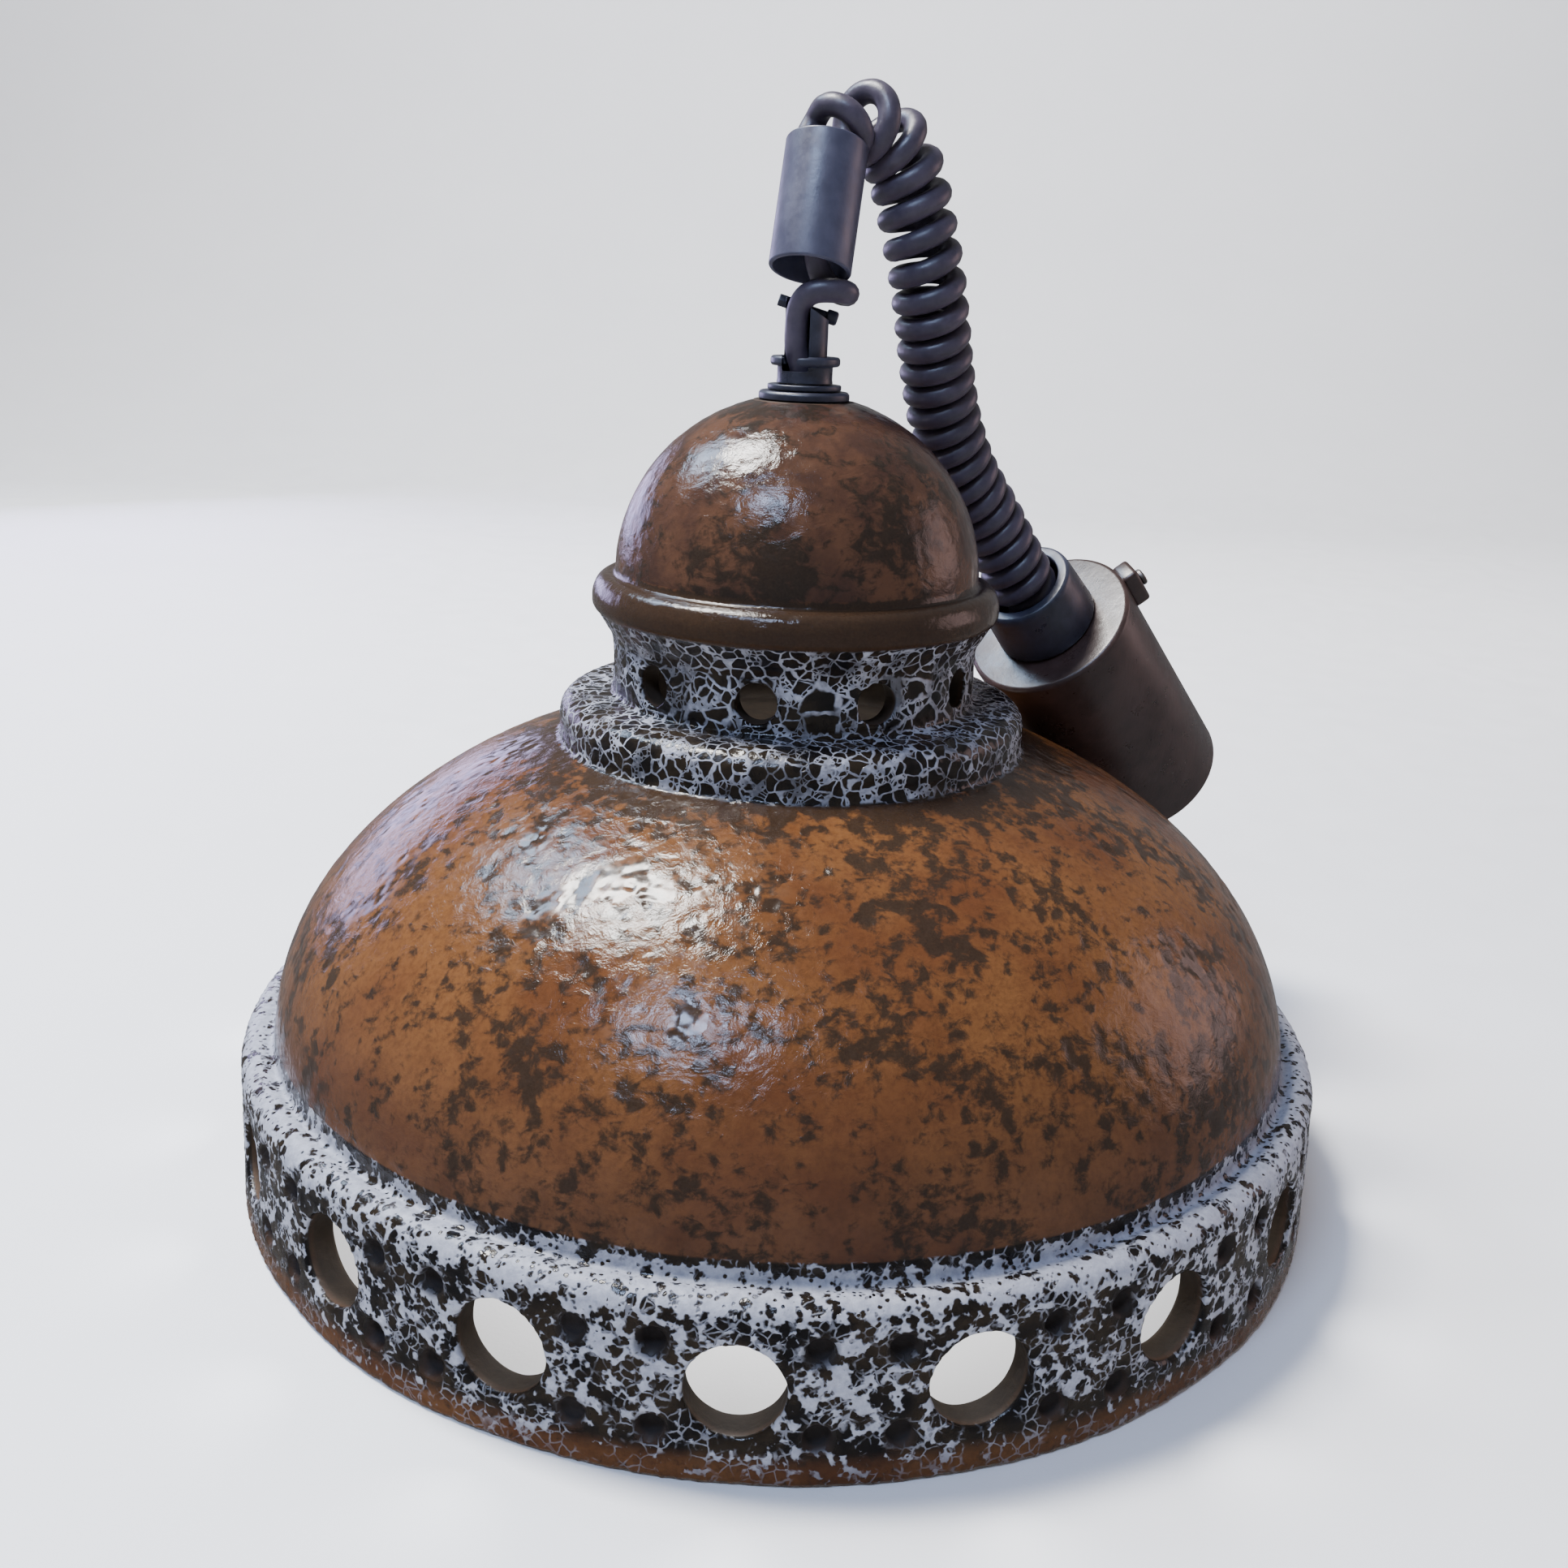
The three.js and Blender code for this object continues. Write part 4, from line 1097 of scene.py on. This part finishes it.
def make_cap():
    low, high = BASE_Z
    base = [(NIPPLE_BORE, low), (12.7, low), (12.7, high - 0.7), (12.1, high), (NIPPLE_BORE, high)]
    settle(turned("base_disc", base, BLACK), "lamp", "black_plastic", "cap_base_disc")
    step = ring_outline(10.3, NIPPLE_BORE, *STEP_Z)
    settle(turned("step_disc", step, BLACK, round_by=0.4), "lamp", "black_plastic", "cap_step_disc")

    low, high = FLANGE_Z
    body = turned("grip", [
        (NIPPLE_BORE, GRIP_Z), (7.9, GRIP_Z), (7.7, GRIP_Z + 1), (7.7, low), (9.2, low), (9.7, low + 0.6),
        (9.7, high - 0.6), (9.2, high), (6.9, high), (6.9, high - 3.6), (NIPPLE_BORE, high - 4.6),
    ], BLACK)
    post = rod("post", 6, high - 1.2, POST_TOP, BLACK, bevel=0.5)
    floor = turned("grip_floor", ring_outline(8, 5, high - 2.2, high - 0.6), BLACK)
    groove = tube_mesh("groove", CORD_ROUTE[1:9], CORD_R + 0.45, BLACK)
    opening = block_object("opening", (7.3, 8, 24), (-2.8, -5.4, high + 8), BLACK, bevel=0.6)
    c, s = math.cos(POST_SLOPE), math.sin(POST_SLOPE)
    tilt = np.array([(c, 0, s, 0), (0, 1, 0, 0), (-s, 0, c, POST_TOP), (0, 0, 0, 1)])
    slope = block_object("slope", (16, 16, 8), (5, 0, 2.2), BLACK, tilt, bevel=0.3)
    head_seat = rod("head_seat", 2.5, 5.2, 12, BLACK, SCREW_FRAME)
    nut_seat = rod("nut_seat", 2.5, -12, -5.2, BLACK, SCREW_FRAME)
    shank = rod("shank_hole", 1.5, -12, 12, BLACK, SCREW_FRAME)
    combine(body, [floor, post], "UNION")
    combine(body, [groove, opening, slope, shank, head_seat, nut_seat], "DIFFERENCE")
    settle(body, "lamp", "black_plastic", "cord_grip")

    head = turned("grip_screw_head", [
        (0, -4.6), (1.2, -4.6), (1.2, 5.5), (1.7, 5.5), (1.95, 5.9), (1.95, 8.3), (1.5, 8.8), (0, 8.8),
    ], BLACK, SCREW_FRAME)
    slotted(head, (0.6, 6, 1.2), 8.9, BLACK, SCREW_FRAME)
    settle(head, "grip_screw", "black_plastic", "grip_screw")
    nut = ring_outline(1.9, 0, -8.4, -5.5)
    nut = turned("grip_hex_nut", nut, BLACK, SCREW_FRAME, sides=6, beyond=1.0)
    settle(nut, "lamp", "black_plastic", "grip_nut")


def make_sleeve():
    wall = [(10.2, -2.6), (11.1, -2.6), (11.4, -2.2), (11.4, 32.2), (11.1, 32.6), (10.2, 32.6)]
    settle(turned("sleeve", wall, SLEEVE, SLEEVE_FRAME, 0.25, 96), "sleeve", "sleeve", "cord_sleeve")


# heights of the lampholder, from the ceiling of the small dome down
HOLDER_R = 20.2
INNER_DISC_Z = (INNER_SEAT - 1.9, INNER_SEAT - GAP)
LOCK_NUT_Z = (INNER_DISC_Z[0] - 4.3, INNER_DISC_Z[0] - GAP)
HOLDER_TOP = LOCK_NUT_Z[0] - GAP
CAP_LOW = HOLDER_TOP - 22
INSERT_Z = (CAP_LOW - 11, CAP_LOW - 1.5)
SHELL_Z = (INSERT_Z[0] - 24.3, INSERT_Z[0] - GAP)
SKIRT_LOW = SHELL_Z[0] - 1.5
COLLAR_TOP = CAP_LOW - 18


def make_nipple():
    nipple = ring_outline(4.95, 4, HOLDER_TOP - 9, FLANGE_Z[1] - 5.2)
    thread = (HOLDER_TOP - 8, FLANGE_Z[1] - 6, 4.5, 0.3, 1.0)
    settle(turned("nipple_tube", nipple, STEEL, thread=thread), "lamp", "steel", "nipple")
    disc = ring_outline(13, NIPPLE_BORE, *INNER_DISC_Z)
    settle(turned("inner_washer", disc, STEEL), "lamp", "steel", "inner_disc")
    nut = ring_outline(8.2, NIPPLE_BORE, *LOCK_NUT_Z)
    settle(turned("lock_hex_nut", nut, BRASS, segments=96, sides=6, beyond=6), "lamp", "brass", "lock_nut")


def make_holder():
    top, low = HOLDER_TOP, CAP_LOW
    cap = [
        (NIPPLE_BORE, top), (NIPPLE_BORE, top - 3), (12, top - 4), (16.5, top - 8), (17.7, top - 12),
        (17.7, low), (HOLDER_R, low), (HOLDER_R, top - 11), (19, top - 6), (15, top - 1.5), (10, top),
    ]
    settle(turned("holder_cap_moulding", cap, PHENOLIC, round_by=1.2), "lamp", "phenolic", "holder_cap")
    skirt = [
        (17.2, low + 6), (15.6, low + 6), (15.6, INSERT_Z[1] + 1.1), (17, INSERT_Z[1] + GAP),
        (17, SKIRT_LOW), (HOLDER_R - 0.8, SKIRT_LOW), (HOLDER_R - 0.4, SKIRT_LOW + 1),
        (HOLDER_R - 0.4, low - GAP), (17.2, low - GAP),
    ]
    thread = (SKIRT_LOW + 1, low - 4, 19, 0.7, 2.5)
    made = turned("holder_skirt_moulding", skirt, PHENOLIC, thread=thread, segments=80)
    settle(made, "skirt", "phenolic", "holder_skirt")
    shell = ring_outline(13.75, 13.35, *SHELL_Z)
    thread = (SHELL_Z[0] + 0.4, SHELL_Z[1] - 1, 1, 0.62, 3.6)
    made = turned("rolled_thread_shell", shell, BRASS, round_by=0.1, thread=thread, segments=80)
    settle(made, "insert", "brass", "screw_shell")
    washer = ring_outline(25, HOLDER_R + GAP, COLLAR_TOP + GAP, COLLAR_TOP + GAP + 1)
    settle(turned("washer_ring", washer, FIBRE), "washer", "fibre", "collar_washer")

    top, low, bore = COLLAR_TOP, COLLAR_TOP - 7, HOLDER_R + 0.35
    collar = turned("clamp_ring", [
        (bore, low), (23.5, low), (24.2, low + 1), (24.2, top - 2.5), (27, top - 1.6), (27, top), (bore, top),
    ], PHENOLIC, round_by=0.5, segments=96)
    notches = [
        rod("notch", 1.2, 23.6, 28, PHENOLIC, sideways(np.eye(4), top - 5, angle))
        for angle in np.arange(22.5, 360, 45)
    ]
    settle(combine(collar, notches, "DIFFERENCE"), "collar", "phenolic", "clamp_collar")


# ---------------------------------------------------------------- canopy, in its own frame
CUP_R = 28.7
CUP_L = 88
CUP_SCREW_Z = -8
CLAMP_Z = -17.5
STRAP_Z = -80


def make_canopy():
    cup = turned("cup", [
        (6.7, 0), (6.7, -2.6), (CUP_R - 3, -2.6), (CUP_R - 2, -3.6), (CUP_R - 2, -CUP_L), (CUP_R, -CUP_L),
        (CUP_R, -1.1), (CUP_R - 1.1, 0),
    ], BROWN, CANOPY, 0.6, 128)
    side = sideways(CANOPY, CUP_SCREW_Z)
    boss = block_object("boss", (6, 9, 14.2), (CUP_R + 2, 0, -7.9), BROWN, CANOPY, bevel=1.4)
    hole = rod("screw_hole", 1.8, CUP_R - 6, CUP_R + 8, BROWN, side)
    combine(cup, [boss], "UNION")
    settle(combine(cup, [hole], "DIFFERENCE"), "lamp", "brown_plastic", "canopy_cup")

    inner, top = CUP_R - 4, CUP_R + 5.3
    screw = turned("cup_screw", [
        (0, inner), (1.5, inner), (1.5, top), (2.9, top), (2.9, top + 1.2), (2.3, top + 1.7), (0, top + 1.7),
    ], DARK_STEEL, side)
    slotted(screw, (0.7, 7, 1.2), top + 1.8, STEEL, side)
    settle(screw, "canopy_screw", "steel", "canopy_screw")

    top = COLLAR_L
    collar = [
        (3.6, GAP), (16.9, GAP), (17.3, 1.4), (16.4, top - 2.2), (16.1, top - 0.8), (15.4, top),
        (12.4, top), (12.1, top - 12), (11, top - 13), (3.6, top - 13),
    ]
    settle(turned("cup_collar", collar, BLACK, CANOPY, 0.5, 96), "lamp", "black_plastic", "canopy_collar")
    thread = (-11.5, -1, 5, 0.5, 1.5)
    spigot = turned("threaded_spigot", ring_outline(6.15, 3.55, -12, 0), BLACK, CANOPY, thread=thread)
    settle(spigot, "lamp", "black_plastic", "collar_spigot")
    nut = turned("spigot_nut", ring_outline(11, 6.7, -7, -2.9), BLACK, CANOPY, segments=96, sides=6, beyond=8)
    settle(nut, "lamp", "black_plastic", "collar_nut")


def make_clamp():
    places = [sideways(shifted(CANOPY, 0, y, 0), CLAMP_Z) for y in (-5, 5)]
    for number, node, side in ((1, "clamp_half_fixed", -1), (2, "clamp_half_screwed", 1)):
        size, centre = (5.6, 13, 8), (side * 3.05, 0, CLAMP_Z)
        half = block_object(f"clamp_block_{number}", size, centre, NYLON, CANOPY, bevel=0.7)
        tools = [rod("bore", 3.5, -23, -12, NYLON, CANOPY)]
        tools += [rod("screw_bore", 1.6, -12, 12, NYLON, place) for place in places]
        settle(combine(half, tools, "DIFFERENCE"), "lamp", "nylon", node)
    for number, place in enumerate(places, 1):
        screw = turned(f"clamp_screw_head_{number}", [
            (0, -6.6), (1.25, -6.6), (1.25, 6.2), (2.2, 6.2), (2.1, 7.3), (1.4, 7.8), (0, 7.8),
        ], STEEL, place)
        slotted(screw, (0.5, 5, 1.0), 7.9, STEEL, place)
        settle(screw, "lamp", "steel", f"clamp_screw_{number}")


def make_strap():
    """A bent steel strip across the canopy's open end, with its screw holes."""
    half_width, thick, end, bend_r, z = 25, 1.6, STRAP_Z + 45.6, 3, STRAP_Z + 2.2

    def corner(side, r, first, last):
        angles = np.radians(np.linspace(first, last, 7))
        return [(side * (half_width - bend_r) + r * math.cos(a), z + r * math.sin(a)) for a in angles]

    bends = [*corner(-1, bend_r, 180, 270), *corner(1, bend_r, 270, 360)]
    outline = [(-half_width, end), *bends, (half_width, end)]
    outline += [(half_width - thick, end), *corner(1, bend_r - thick, 360, 270)]
    outline += [*corner(-1, bend_r - thick, 270, 180), (thick - half_width, end)]
    n = len(outline)
    points = [(x, y, z) for y in (-6, 6) for x, z in outline]
    faces = [[k, (k + 1) % n, n + (k + 1) % n, n + k] for k in range(n)]
    faces += [list(range(n))[::-1], list(range(n, 2 * n))]
    strap = new_object("strap", points, faces, STEEL, CANOPY)
    bores = [
        rod("bore", 2.4, STRAP_Z - 3, STRAP_Z + 3, STEEL, shifted(CANOPY, x, 0, 0)) for x in (-14, 0, 14)
    ]
    combine(strap, bores, "DIFFERENCE")
    edge = strap.modifiers.new("edge", "BEVEL")
    edge.width = 0.25 * MM
    edge.segments = 2
    edge.limit_method = "ANGLE"
    settle(strap, "lamp", "steel", "mounting_strap")


def make_hook():
    middle, radius = STRAP_Z + 22, 5.5
    route = [(0, 0, STRAP_Z - 4.4), (0, 0, STRAP_Z + 4), (0, 0, middle - radius * 1.6)]
    for a in np.radians(np.arange(8) * 37 - 80):
        route.append((radius * math.cos(a), 0, middle + radius * math.sin(a)))
    settle(tube_mesh("hook", route, 1.7, STEEL, CANOPY), "hook", "steel", "suspension_hook")
    nut = ring_outline(4.4, 2.1, STRAP_Z + 1.1, STRAP_Z + 4.1)
    nut = turned("hook_hex_nut", nut, BRASS, CANOPY, segments=96, sides=6, beyond=3)
    settle(nut, "lamp", "brass", "hook_nut")


def make_terminals():
    x, z = -14, -52
    rows = (-8.5, 0, 8.5)
    places = [sideways(shifted(CANOPY, 0, y, 0), z) for y in rows]
    block = block_object("three_way_block", (9, 27, 15), (x, 0, z), NYLON, CANOPY, bevel=0.8)
    tools = [rod("bore", 2, z - 9, z + 9, NYLON, shifted(CANOPY, x - 1, y, 0)) for y in rows]
    tools += [rod("well", 2.1, x + 1.5, x + 6, NYLON, place) for place in places]
    for y in (-4.25, 4.25):
        tools.append(block_object("waist", (3, 1.6, 20), (x + 4.5, y, z), NYLON, CANOPY, bevel=0.3))
    settle(combine(block, tools, "DIFFERENCE"), "lamp", "nylon", "terminal_block")
    for number, place in enumerate(places, 1):
        screw = rod(f"terminal_screw_{number}", 1.75, x + 2.2, x + 4.2, BRASS, place, bevel=0.3)
        slotted(screw, (0.5, 5, 0.9), x + 4.3, BRASS, place)
        settle(screw, "lamp", "brass", f"block_screw_{number}")
    for name, material, slot, start, end in (
        ("wire_live", WIRE_BROWN, "wire_brown", -1.3, rows[0]),
        ("wire_neutral", WIRE_BLUE, "wire_blue", 1.3, rows[2]),
    ):
        route = [(-0.6, start, -26), (-1.6, start * 1.6, -31), (-9, end * 0.7, -37)]
        route += [(x - 1, end, -42), (x - 1, end, -48)]
        settle(tube_mesh(f"core_{name}", route, 1.1, material, CANOPY), "lamp", slot, name)


FINISHES = {
    "black_plastic": BLACK, "phenolic": PHENOLIC, "ceramic": CERAMIC, "brass": BRASS, "steel": STEEL,
    "fibre": FIBRE, "sleeve": SLEEVE, "cord": CORD, "brown_plastic": BROWN, "nylon": NYLON, "glaze": GLAZE,
    "wire_brown": WIRE_BROWN, "wire_blue": WIRE_BLUE,
}


def finish_frame_nodes():
    """The finishes of the CAD nodes that stay as they are."""
    for part in frame["record"]["subparts"]:
        node = frame["nodes"][part["node"]]
        for material_slot in node.material_slots:
            material_slot.material = FINISHES[part["material_slot"]]


finish_frame_nodes()
cord, cord_length = make_cord()
make_shade()
make_cap()
make_sleeve()
make_nipple()
make_holder()
make_canopy()
make_clamp()
make_strap()
make_hook()
make_terminals()
